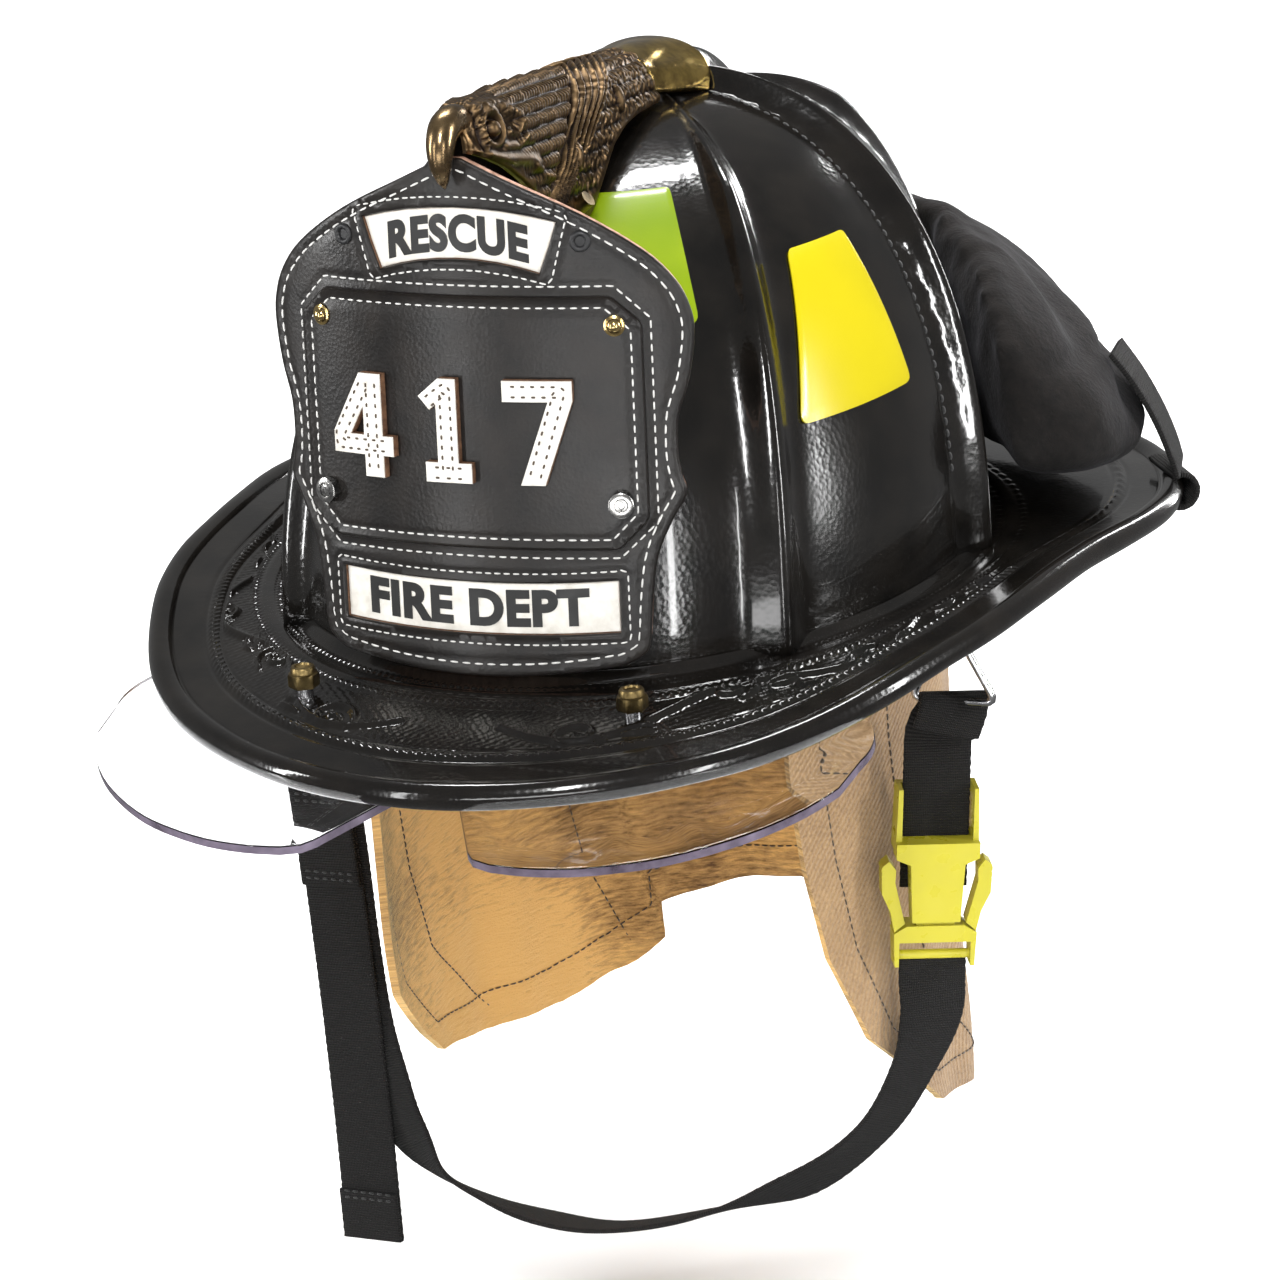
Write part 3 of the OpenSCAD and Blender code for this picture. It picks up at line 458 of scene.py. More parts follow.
def quads(rows, cols, loop=False, start=0):
    r, c = np.meshgrid(np.arange(rows - 1), np.arange(cols if loop else cols - 1), indexing="ij")
    n = (c + 1) % cols
    return np.stack([r * cols + c, r * cols + n, (r + 1) * cols + n, (r + 1) * cols + c], -1).reshape(-1, 4) + start


def closed_sheet(front, back, loop=False):
    """Points, faces and marks (0 front, 1 back, 2 rim) of the solid between two grids."""
    rows, cols = front.shape[:2]
    n = rows * cols
    f, b = quads(rows, cols, loop), quads(rows, cols, loop, n)[:, ::-1]
    rim = []
    span = range(cols if loop else cols - 1)
    for r in (0, rows - 1):
        rim += [(r * cols + c, r * cols + (c + 1) % cols, n + r * cols + (c + 1) % cols, n + r * cols + c) for c in span]
    if not loop:
        for c in (0, cols - 1):
            rim += [(r * cols + c, (r + 1) * cols + c, n + (r + 1) * cols + c, n + r * cols + c)
                    for r in range(rows - 1)]
    verts = np.concatenate([front.reshape(-1, 3), back.reshape(-1, 3)])
    marks = [0] * len(f) + [1] * len(b) + [2] * len(rim)
    return verts, f.tolist() + b.tolist() + rim, marks


def resample(points, step, loop=False):
    """The polyline again with even steps, and the length."""
    p = np.asarray(points, float)
    if loop:
        p = np.vstack([p, p[:1]])
    d = np.concatenate([[0], np.cumsum(np.linalg.norm(np.diff(p, axis=0), axis=1))])
    n = max(2, int(round(d[-1] / step)) + 1)
    at = np.linspace(0, d[-1], n)
    return np.stack([np.interp(at, d, p[:, k]) for k in range(p.shape[1])], -1), d[-1]


def smooth_line(points, per=8):
    """A Catmull-Rom line through the points."""
    p = np.asarray(points, float)
    p = np.vstack([2 * p[0] - p[1], p, 2 * p[-1] - p[-2]])
    out = []
    for i in range(1, len(p) - 2):
        t = np.linspace(0, 1, per, endpoint=False)[:, None]
        a, b, c, d = p[i - 1], p[i], p[i + 1], p[i + 2]
        out.append(0.5 * (2 * b + (c - a) * t + (2 * a - 5 * b + 4 * c - d) * t ** 2
                          + (3 * b - a - 3 * c + d) * t ** 3))
    return np.vstack(out + [p[-2:-1]])


def frames(path, up=None):
    """Tangents, normals and sides along a path."""
    t = unit(np.gradient(path, axis=0))
    if up is None:
        ups = [np.array([0, 0, 1.0]) if abs(t[0][2]) < 0.9 else np.array([1.0, 0, 0])]
        for k in range(1, len(t)):
            ups.append(ups[-1] - t[k] * (ups[-1] @ t[k]))
        up = np.array(ups)
    up = np.broadcast_to(np.asarray(up, float), path.shape)
    side = unit(np.cross(t, up))
    return t, unit(np.cross(side, t)), side


def tube(path, radii, sides=12, up=None, loop=False, flat=(1.0, 1.0)):
    """Points and faces of a round bar along a path."""
    path = np.asarray(path, float)
    t, nrm, side = frames(path, up)
    q = np.linspace(0, 2 * math.pi, sides, endpoint=False)
    radii = np.broadcast_to(np.asarray(radii, float), (len(path),))
    rings = path[:, None] + radii[:, None, None] * (np.cos(q)[None, :, None] * side[:, None] * flat[0]
                                                     + np.sin(q)[None, :, None] * nrm[:, None] * flat[1])
    faces = quads(len(path), sides, True).tolist()
    if not loop:
        n = (len(path) - 1) * sides
        faces += [list(range(sides))[::-1], list(range(n, n + sides))]
    else:
        n = (len(path) - 1) * sides
        faces += [(n + k, n + (k + 1) % sides, (k + 1) % sides, k) for k in range(sides)]
    return rings.reshape(-1, 3), faces


def join(parts):
    """Many (points, faces) lists as one."""
    verts, faces, n = [], [], 0
    for v, f in parts:
        verts.append(np.asarray(v))
        faces += [[i + n for i in face] for face in f]
        n += len(v)
    return np.vstack(verts), faces


STITCH_RINGS = [(-0.5, 0.25, -0.9), (-0.40, 0.85, -0.15), (-0.15, 1.0, 0.35), (0.15, 1.0, 0.35),
                (0.40, 0.85, -0.15), (0.5, 0.25, -0.9)]


def stitch_parts(points, normals, pitch=3.4, length=2.6, radius=0.42, sides=6):
    """Thread stitches along a line that lies on a surface."""
    p = np.asarray(points, float)
    d = np.concatenate([[0], np.cumsum(np.linalg.norm(np.diff(p, axis=0), axis=1))])
    count = max(1, int(d[-1] / pitch))
    at = (np.arange(count) + 0.5) * d[-1] / count
    mid = np.stack([np.interp(at, d, p[:, k]) for k in range(3)], -1)
    nrm = unit(np.stack([np.interp(at, d, np.asarray(normals, float)[:, k]) for k in range(3)], -1))
    half = length / 2
    tan = unit(np.stack([np.interp(at + half, d, p[:, k]) - np.interp(at - half, d, p[:, k]) for k in range(3)], -1))
    side = unit(np.cross(tan, nrm))
    q = np.linspace(0, 2 * math.pi, sides, endpoint=False)
    rings = []
    for along, fat, lift in STITCH_RINGS:
        c = mid + tan * along * length + nrm * lift * radius
        ring = c[:, None] + radius * fat * (np.cos(q)[None, :, None] * side[:, None]
                                            + np.sin(q)[None, :, None] * nrm[:, None])
        rings.append(ring)
    verts = np.stack(rings, 1).reshape(-1, 3)
    one = quads(len(rings), sides, True).tolist() + [list(range(sides))[::-1],
                                                     list(range((len(rings) - 1) * sides, len(rings) * sides))]
    n = len(rings) * sides
    faces = [[i + k * n for i in f] for k in range(count) for f in one]
    return verts, faces


def inside(pts, poly):
    """Which of the 2-D points lie in the polygon."""
    x, y = pts[:, 0], pts[:, 1]
    hit = np.zeros(len(pts), bool)
    p = np.asarray(poly, float)
    q = np.roll(p, -1, 0)
    for (x0, y0), (x1, y1) in zip(p, q):
        cross = (y0 > y) != (y1 > y)
        with np.errstate(divide="ignore", invalid="ignore"):
            hit ^= cross & (x < (x1 - x0) * (y - y0) / (y1 - y0) + x0)
    return hit


def outline(corners, step):
    """A closed 2-D outline with points no further apart than step."""
    out = []
    c = np.asarray(corners, float)
    for a, b in zip(c, np.roll(c, -1, 0)):
        n = max(1, int(math.ceil(np.linalg.norm(b - a) / step)))
        out += [a + (b - a) * k / n for k in range(n)]
    return np.array(out)


def rounded(corners, radius, step=1.0):
    """A closed outline whose corners are rounded."""
    c = np.asarray(corners, float)
    out = []
    for i in range(len(c)):
        a, b, d = c[i - 1], c[i], c[(i + 1) % len(c)]
        u, w = unit(a - b), unit(d - b)
        cut = min(radius, np.linalg.norm(a - b) * 0.45, np.linalg.norm(d - b) * 0.45)
        for q in np.linspace(0, 1, 5):
            out.append((1 - q) ** 2 * (b + u * cut) + 2 * q * (1 - q) * b + q * q * (b + w * cut))
    return outline(out, step)


def inset(poly, d):
    """The outline moved inwards by d."""
    p = np.asarray(poly, float)
    t = unit(np.roll(p, -1, 0) - np.roll(p, 1, 0))
    area = 0.5 * np.sum(p[:, 0] * np.roll(p[:, 1], -1) - np.roll(p[:, 0], -1) * p[:, 1])
    n = np.stack([-t[:, 1], t[:, 0]], -1) * (1 if area > 0 else -1)
    return p + n * d


def plate(name, outer, holes, place, high, low, mats, spacing=4.0, edge=0.6, relief=None, step=1.6, **rest):
    """A flat plate with holes, laid on a surface by place(u, v, off). The front edges are rounded.
    Materials: 0 faces, 1 outer wall, 2 hole walls."""
    import mathutils.geometry as geo
    loops = [outline(outer, step)] + [outline(h, step) for h in holes]
    rings = []
    for k, loop in enumerate(loops):
        way = 1 if k == 0 else -1
        rings += [loop, inset(loop, way * edge * 0.3), inset(loop, way * edge)]
    lo, hi = loops[0].min(0), loops[0].max(0)
    gx, gy = np.meshgrid(np.arange(lo[0], hi[0], spacing), np.arange(lo[1], hi[1], spacing * 0.87))
    gx = gx + (np.arange(gx.shape[0]) % 2)[:, None] * spacing / 2
    free = np.stack([gx.ravel(), gy.ravel()], -1)
    keep = inside(free, inset(loops[0], edge + spacing * 0.45))
    for h in loops[1:]:
        keep &= ~inside(free, inset(h, -(edge + spacing * 0.45)))
    coords, edges = [], []
    for ring in rings:
        s = len(coords)
        coords += [tuple(p) for p in ring]
        edges += [(s + i, s + (i + 1) % len(ring)) for i in range(len(ring))]
    coords += [tuple(p) for p in free[keep]]
    v2, _, tris, *_ = geo.delaunay_2d_cdt([Vector(c) for c in coords], edges, [], 0, 1e-5)
    v2 = np.array([list(v) for v in v2])
    tris = [t for t in tris]
    mid = np.array([v2[list(t)].mean(0) for t in tris])
    ok = inside(mid, loops[0])
    for h in loops[1:]:
        ok &= ~inside(mid, h)
    tris = [list(t) for t, k in zip(tris, ok) if k]
    used = sorted({i for t in tris for i in t})
    renum = {i: k for k, i in enumerate(used)}
    tris = [[renum[i] for i in t] for t in tris]
    v2 = v2[used]
    dense = np.vstack([outline(l, 0.3) for l in loops])
    tree = KDTree(len(dense))
    for i, p in enumerate(dense):
        tree.insert((p[0], p[1], 0), i)
    tree.balance()
    dist = np.array([tree.find((p[0], p[1], 0))[2] for p in v2])
    r = np.clip(1 - dist / edge, 0, 1)
    off = high - edge * (1 - np.sqrt(np.clip(1 - r * r, 0, 1)))
    if relief is not None:
        off = off + relief(v2[:, 0], v2[:, 1]) * np.clip(dist / edge, 0, 1)
    front = place(v2[:, 0], v2[:, 1], off)
    back = place(v2[:, 0], v2[:, 1], np.full(len(v2), low))
    n = len(v2)
    count = {}
    for t in tris:
        for a, b in zip(t, t[1:] + t[:1]):
            count.setdefault((min(a, b), max(a, b)), []).append((a, b))
    faces = tris + [[i + n for i in t[::-1]] for t in tris]
    marks = [0] * len(faces)
    for pair in count.values():
        if len(pair) == 1:
            a, b = pair[0]
            faces.append([b, a, a + n, b + n])
            m = (v2[a] + v2[b]) / 2
            which = [np.min(np.sum((l - m) ** 2, 1)) for l in loops]
            marks.append(1 if int(np.argmin(which)) == 0 else min(2, len(mats) - 1))
    uv = np.vstack([v2, v2]) * MM
    return piece(name, np.vstack([front, back]), faces, mats, marks=marks, uv=uv, **rest)


def lathe(profile, sides=32):
    """Points and faces of a turned shape about Z. A profile row is (radius, height, True for six flats)."""
    q = np.linspace(0, 2 * math.pi, sides, endpoint=False)
    rings = []
    for row in profile:
        r, h, six = (*row, False)[:3]
        k = math.cos(math.pi / 6) / np.cos((q + math.pi / 6) % (math.pi / 3) - math.pi / 6) if six else 1.0
        rings.append(np.stack([r * k * np.cos(q), r * k * np.sin(q), np.full(sides, h)], -1))
    verts = np.vstack(rings)
    faces = quads(len(profile), sides, True).tolist()
    faces += [list(range(sides))[::-1], list(range((len(profile) - 1) * sides, len(profile) * sides))]
    return verts, faces


def placed(part, origin, z_axis, x_axis=(1, 0, 0)):
    """The part moved so that its Z points along z_axis."""
    verts, faces = part
    z = unit(z_axis)
    x = np.asarray(x_axis, float)
    x = unit(x - z * (x @ z))
    y = np.cross(z, x)
    return verts @ np.stack([x, y, z]) + np.asarray(origin, float), faces


# ------------------------------------------------------------------ the helmet's surfaces


def nearest_comb(t):
    """The comb nearest to each angle, and the angle past it."""
    w = np.asarray(t, float)[..., None] % 360 - COMB_AT
    i = np.argmin(np.abs(w), -1)
    return i % 8, np.take_along_axis(w, i[..., None], -1)[..., 0]


def comb(t, f):
    i, d = nearest_comb(t)
    fade = np.where(i == 0, np.clip((f - 24) / 12, 0, 1),
                    np.where(i % 2 == 1, np.clip((78 - f) / 22, 0.12, 1), 1))
    return COMB_HEIGHT * np.exp(-np.abs(d / 3.4) ** 1.75) * fade


def crown_at(t, f, off=0.0):
    a, b = np.radians(t), np.radians(f)
    r = np.cos(b) ** (2 / CROWN_SQUARENESS)
    z = CROWN_HEIGHT * np.sin(b) ** (2 / CROWN_SQUARENESS)
    return np.stack(np.broadcast_arrays(
        (CROWN_HALF_WIDTH + off) * np.sin(a) * r,
        -(CROWN_HALF_LENGTH + off) * np.cos(a) * r + CROWN_LEAN * (z / CROWN_HEIGHT) ** CROWN_LEAN_POWER,
        z + off * np.sin(b)), -1)


def crown_normal(t, f):
    e = 0.4
    du = crown_at(t + e, f, comb(t + e, f)) - crown_at(t - e, f, comb(t - e, f))
    dv = crown_at(t, f + e, comb(t, f + e)) - crown_at(t, f - e, comb(t, f - e))
    return unit(np.cross(du, dv))


def station(values, t):
    """Catmull-Rom through values every 30 degrees, the same on both sides."""
    n = len(values) - 1
    x = np.asarray(t, float) % 360 / BRIM_STATION
    i = np.floor(x).astype(int)
    q = x - i
    v = np.asarray(values, float)

    def at(k):
        j = np.abs(k) % (2 * n)
        return v[np.where(j > n, 2 * n - j, j)]
    a, b, c, d = at(i - 1), at(i), at(i + 1), at(i + 2)
    return 0.5 * (2 * b + (c - a) * q + (2 * a - 5 * b + 4 * c - d) * q ** 2 + (3 * b - a - 3 * c + d) * q ** 3)


def crown_radius(t):
    a = np.radians(t)
    return 1 / np.sqrt((np.sin(a) / CROWN_HALF_WIDTH) ** 2 + (np.cos(a) / CROWN_HALF_LENGTH) ** 2)


def brim_at(t, s, drop=0.0):
    a = np.radians(t)
    r0, r1 = crown_radius(t), station(BRIM_REACH, t) - EDGE_ROLL_R
    r = r0 + np.where(s > 0, s * (r1 - r0), s * BRIM_LAP)
    z = station(BRIM_RISE, t) * np.maximum(s, 0) ** 1.2 - drop
    return np.stack(np.broadcast_arrays(r * np.sin(a), -r * np.cos(a), z), -1)


def shield_at(u, v, off):
    a = np.asarray(u, float) / SHIELD_CURVE_R
    lean = math.radians(SHIELD_LEAN)
    reach = SHIELD_CURVE_R + off
    back = SHIELD_CURVE_R - reach * np.cos(a)
    return SHIELD_FOOT + np.stack(np.broadcast_arrays(
        reach * np.sin(a), back * math.cos(lean) + v * math.sin(lean), v * math.cos(lean) - back * math.sin(lean)), -1)


def shield_normal(u, v):
    return unit(shield_at(u, v, 1.0) - shield_at(u, v, 0.0))

# ------------------------------------------------------------------ crown


def build_crown():
    cols, f = 480, np.concatenate([np.linspace(0, 80, 76), np.linspace(81.2, 88, 7)])
    t = np.arange(cols) * 360 / cols
    tt, ff = np.meshgrid(t, f)
    height = comb(tt, ff)
    # a shallow groove under each row of comb stitches, puckered by the thread
    which, past = nearest_comb(tt)
    mm = np.radians(np.abs(past) - 6.6) * 112 * np.cos(np.radians(ff))
    sewn = (which != 0) & (which != 1) & (which != 7)
    seam = np.exp(-(mm / 1.3) ** 2) * sewn
    pucker = np.sin(ff * 7.3 + past * 0.9) * 0.30 * np.where(sewn, 1, 0.15)
    near_comb = np.exp(-((np.abs(past) - 5.4) / 2.4) ** 2)
    outer = crown_at(tt, ff, height - 0.55 * seam + pucker * near_comb)
    inner = crown_at(tt, ff, height * 0.7 - LEATHER)
    verts, faces, marks = closed_sheet(outer, inner, loop=True)
    keep = [k for k, m in enumerate(marks) if m != 2 or max(faces[k]) < len(f) * cols + cols]
    faces, n = [faces[k] for k in keep], len(f) * cols
    top = [(len(f) - 1) * cols + c for c in range(cols)]
    verts = np.vstack([verts, outer[-1].mean(0) + [0, 0, 0.3], inner[-1].mean(0) + [0, 0, 0.1]])
    faces += [(a, b, 2 * n) for a, b in zip(top, top[1:] + top[:1])]
    faces += [(b + n, a + n, 2 * n + 1) for a, b in zip(top, top[1:] + top[:1])]
    shell = piece("crown", verts, faces, [BLACK_LEATHER], replaces=("crown_shell",), slot="black_leather")
    # black stitches beside the combs
    parts = []
    for i in range(2, 7):
        for way in (-1, 1):
            fs = np.linspace(9, 74 if i % 2 else 80, 60)
            ts = COMB_AT[i] + way * 6.6 / np.cos(np.radians(fs)) ** 0.35
            off = comb(ts, fs) - 0.35
            parts.append(stitch_parts(crown_at(ts, fs, off), crown_normal(ts, fs), 3.6, 2.7, 0.5))
    v, fcs = join(parts)
    piece("crown_stitching", v, fcs, [BLACK_THREAD], slot="black_leather", tidy=False)
    return shell


# ------------------------------------------------------------------ brim


def spiral(t0, s0, turns, size, hand, start):
    """A volute drawn in brim coordinates: degrees round and share of the brim's width."""
    q = np.linspace(0, turns * 2 * math.pi, 46)
    r = size * (1 - q / q[-1]) ** 0.9 + 0.25
    ang = start + hand * q
    return [(t0 + r_ * math.cos(a_) / 2.6, s0 + r_ * math.sin(a_) / 62) for r_, a_ in zip(r, ang)]


def brim_tooling():
    """Raised vine, volutes and leaves on the front of the brim, as points with half widths."""
    lines = []
    for way in (-1, 1):
        vine = [(way * (6 + 78 * q), 0.47 + 0.17 * math.sin(q * 4.2 * math.pi)) for q in np.linspace(0, 1, 60)]
        lines.append((vine, 1.5))
        for k in range(4):
            t0 = way * (15 + 18.6 * k)
            hand = -way if k % 2 else way
            s0 = 0.36 if k % 2 else 0.58
            lines.append((spiral(t0, s0, 1.5, 8.5, hand, 0.4 + k), 1.1))
            for j in (-1, 0, 1):
                leaf = [(t0 + way * (5 + 3.2 * q), s0 + (0.05 + 0.05 * j) + 0.10 * j * q - 0.10 * j * q * q)
                        for q in np.linspace(0, 1, 8)]
                lines.append((leaf, 0.9))
        for k in range(5):
            t0 = way * (9 + 15.5 * k)
            lines.append(([(t0 + way * 4.5 * q, 0.24 + 0.05 * math.sin(3.1 * q)) for q in np.linspace(0, 1, 10)], 0.8))
    return lines


def build_brim():
    t = np.concatenate([np.arange(-86, 86, 0.22), np.arange(86, 274, 0.75)])
    s = np.concatenate([[-1, -0.3], np.linspace(0, 1, 92)])
    tt, ss = np.meshgrid(t, s)
    width = station(BRIM_REACH, tt) - EDGE_ROLL_R - crown_radius(tt)
    from_edge, from_crown = (1 - ss) * width, ss * width
    edge = brim_at(t, 1.0)
    arc = np.concatenate([[0], np.cumsum(np.linalg.norm(np.diff(edge, axis=0), axis=1))])[None, :]
    # roped border, a seam band at the crown, and the tooled front
    lay = 13.0
    rope = np.exp(-((from_edge - lay) / 1.25) ** 2) * (0.35 + 0.65 * np.abs(np.sin(math.pi * (arc + (from_edge - lay) * 0.9) / 3.3)))
    groove = np.exp(-((from_edge - lay - 2.6) / 0.7) ** 2) + np.exp(-((from_edge - lay + 2.6) / 0.7) ** 2)
    arc0 = arc * 0.72
    band = np.exp(-((from_crown - 9.5) / 2.6) ** 4)
    beads = sum(np.exp(-((from_crown - at) / 0.9) ** 2) * np.abs(np.sin(math.pi * arc0 / 2.4)) for at in (5.6, 13.4))
    height = 0.85 * rope - 0.45 * groove + 0.7 * band + 0.6 * beads
    fillet = 3.2 * np.exp(-(np.maximum(from_crown, 0) / 2.8) ** 1.4) * (ss >= 0)
    samples, widths = [], []
    for line, w in brim_tooling():
        p = brim_at(*np.array(line).T)
        p, _ = resample(p, 0.5)
        samples.append(p)
        q = np.linspace(0, 1, len(p))
        widths.append(w * (0.45 + 0.55 * np.sin(math.pi * np.clip(q, 0.04, 0.96))))
    samples, widths = np.vstack(samples), np.concatenate(widths)
    tree = KDTree(len(samples))
    for i, p in enumerate(samples):
        tree.insert(p, i)
    tree.balance()
    flat = brim_at(tt, ss)
    tooled = np.zeros_like(height)
    zone = (from_edge > lay + 3.5) & (from_crown > 15) & (np.abs(tt) < 90)
    for r, c in zip(*np.nonzero(zone)):
        _, i, d = tree.find(flat[r, c])
        tooled[r, c] = math.exp(-(d / widths[i]) ** 2)
    stipple = np.sin(flat[..., 0] * 2.3 + np.sin(flat[..., 1] * 1.7)) * np.sin(flat[..., 1] * 2.1)
    height = height + zone * (1.25 * tooled - 0.25 * (1 - tooled) + 0.10 * stipple * (1 - tooled))
    top = flat + np.stack([0 * height, 0 * height, height + fillet], -1)
    bottom = brim_at(tt, ss, BRIM_THICKNESS)
    verts, faces, marks = closed_sheet(top, bottom, loop=True)
    piece("brim_leather", verts, faces, [BLACK_LEATHER], replaces=("brim",), slot="black_leather")
    # the rolled edge, with the seam where it is turned under
    t = np.linspace(0, 360, 720, endpoint=False)
    rim = brim_at(t, 1.0, 2.0)
    a = np.radians(t)
    outward = np.stack([np.sin(a), -np.cos(a), 0 * a], -1)
    centre = rim + outward * 0.9 * EDGE_ROLL_R
    tangent = unit(np.roll(centre, -1, 0) - np.roll(centre, 1, 0))
    side = unit(np.cross(tangent, [0, 0, 1.0]))
    side *= np.sign(np.sum(side * outward, 1))[:, None]
    upward = np.cross(tangent, side)
    upward *= np.sign(upward[:, 2])[:, None]
    q = np.linspace(0, 2 * math.pi, 40, endpoint=False)
    wobble = 1 + 0.02 * np.sin(a * 9 + 1) + 0.015 * np.sin(a * 23)
    seam = np.exp(-((q - 3.9) / 0.12) ** 2)
    ring_r = EDGE_ROLL_R * (wobble[:, None] - 0.10 * seam[None])
    verts = centre[:, None] + ring_r[..., None] * (np.cos(q)[None, :, None] * side[:, None]
                                                   + np.sin(q)[None, :, None] * upward[:, None])
    faces = quads(len(t), len(q), True).tolist()
    n = (len(t) - 1) * len(q)
    faces += [(n + k, n + (k + 1) % len(q), (k + 1) % len(q), k) for k in range(len(q))]
    piece("brim_roll", verts.reshape(-1, 3), faces, [BLACK_LEATHER], replaces=("brim_edge_roll",),
          slot="black_leather")
    # a row of thread under the edge, where the roll is sewn down
    under = brim_at(t, 0.955, BRIM_THICKNESS)
    v, f = stitch_parts(np.vstack([under, under[:1]]), np.tile([0, 0, -1.0], (len(t) + 1, 1)), 4.6, 3.4, 0.55)
    piece("brim_lacing", v, f, [BLACK_THREAD], slot="black_leather", tidy=False)


# ------------------------------------------------------------------ front shield


def shield_corners():
    foot = [(u, -4 * (1 - (u / 46) ** 2)) for u in np.linspace(-46, 46, 17)]
    right = smooth_line([(h, v) for v, h in SHIELD_OUTLINE[1:]], 4)
    left = [(-u, v) for u, v in right[::-1]]
    return np.array(foot + [tuple(p) for p in right] + [tuple(p) for p in left])


def bowed(rows, bow, step=9):
    """A four-sided outline from (v, half width) rows, with its long edges bowed up by bow."""
    (v0, w0), (v1, w1) = rows[0], rows[-1]
    low = [(u * w0, v0 + bow * (1 - u * u)) for u in np.linspace(-1, 1, step)]
    side = [(w, v) for v, w in rows[1:-1]]
    high = [(u * w1, v1 + bow * (1 - u * u)) for u in np.linspace(1, -1, step)]
    return np.array(low + side + high + [(-w, v) for w, v in side[::-1]])


TOP_WINDOW = bowed([(116.5, 25.5), (124, 28.5), (131.5, 31)], 4)
BOTTOM_WINDOW = bowed([(10, 45), (25.5, 45)], -1.2)
TOP_FRAME = bowed([(113.4, 27.6), (115, 29.3), (124, 31.7), (133, 34.2), (134.7, 32.5)], 4)
BOTTOM_FRAME = bowed([(7, 46.5), (8.2, 47.8), (27.3, 47.8), (28.5, 46.5)], -1.2)
PANEL = [(-46, 35), (46, 35), (55, 44), (55, 102), (46, 110), (-46, 110), (-55, 102), (-55, 44)]
INNER_SEAM = [(-44, 38.2), (44, 38.2), (51.6, 46), (51.6, 100), (44, 106.8), (-44, 106.8), (-51.6, 100), (-51.6, 46)]
OUTER_SEAM = [(-46, 32.4), (46, 32.4), (57.4, 43), (57.4, 103.2), (47, 112.8), (-47, 112.8), (-57.4, 103.2),
              (-57.4, 43)]


def line_distance(lines):
    """A function giving the distance from (u, v) to closed lines."""
    dense = np.vstack([outline(l, 0.4) for l in lines])
    tree = KDTree(len(dense))
    for i, p in enumerate(dense):
        tree.insert((p[0], p[1], 0), i)
    tree.balance()
    return lambda u, v: np.array([tree.find((a, b, 0))[2] for a, b in zip(u, v)])


def shield_stitches(loop, off, **kw):
    p = outline(loop, 1.2)
    p = np.vstack([p, p[:1]])
    return stitch_parts(shield_at(p[:, 0], p[:, 1], off), shield_normal(p[:, 0], p[:, 1]), **kw)


def lettering(name, text, place, centre, size, thick, mat, bow=0.0):
    """Upright letters laid on a curved surface."""
    data = bpy.data.curves.new(name + "_outline", "FONT")
    data.body, data.size, data.offset, data.resolution_u = text, 1.0, 0.048, 6
    data.extrude = 0.01
    data.space_character = 1.08
    temp = bpy.data.objects.new(name + "_outline", data)
    bpy.context.collection.objects.link(temp)
    bpy.context.view_layer.update()
    me = temp.evaluated_get(bpy.context.evaluated_depsgraph_get()).to_mesh()
    co = np.array([v.co for v in me.vertices], float)
    faces = [list(p.vertices) for p in me.polygons]
    temp.to_mesh_clear()
    bpy.data.objects.remove(temp)
    lo, hi = co.min(0), co.max(0)
    u = (co[:, 0] - (lo[0] + hi[0]) / 2) / (hi[0] - lo[0]) * size[0] + centre[0]
    v = (co[:, 1] - (lo[1] + hi[1]) / 2) / (hi[1] - lo[1]) * size[1] + centre[1]
    v = v + bow * (1 - (u / (size[0] / 2 + 3)) ** 2)
    off = thick[0] + (co[:, 2] > 0) * (thick[1] - thick[0])
    obj = piece(name, place(u, v, off), faces, [mat], slot="black_leather", sharp=30)
    return obj


DIGITS = {
    "four": dict(at=-31.5, outer=[(11, 0), (17.5, 0), (17.5, 6.5), (21, 6.5), (21, 12.5), (17.5, 12.5), (17.5, 31),
                                  (10, 31), (0, 13), (0, 6.5), (11, 6.5)],
                 hole=[(6.2, 12.5), (11, 12.5), (11, 21)],
                 lines=[[(14.2, 2), (14.2, 29)], [(12, 28), (2.6, 12.5), (2.6, 9.6), (19, 9.6)]]),
    "one": dict(at=-4, outer=[(4, 0), (18.5, 0), (18.5, 6), (14.5, 6), (14.5, 31), (9, 31), (2.5, 25.5), (6, 21.5),
                              (8, 23.2), (8, 6), (4, 6)], hole=None,
                lines=[[(11.2, 3), (11.2, 28), (5.2, 23.6)], [(6, 3), (16.6, 3)]]),
    "seven": dict(at=24, outer=[(5, 0), (12.2, 0), (21, 25), (21, 31), (0.5, 31), (0.5, 24.7), (13.8, 24.7)],
                  hole=None, lines=[[(2.4, 27.8), (17.4, 27.8), (9.2, 2)]]),
}


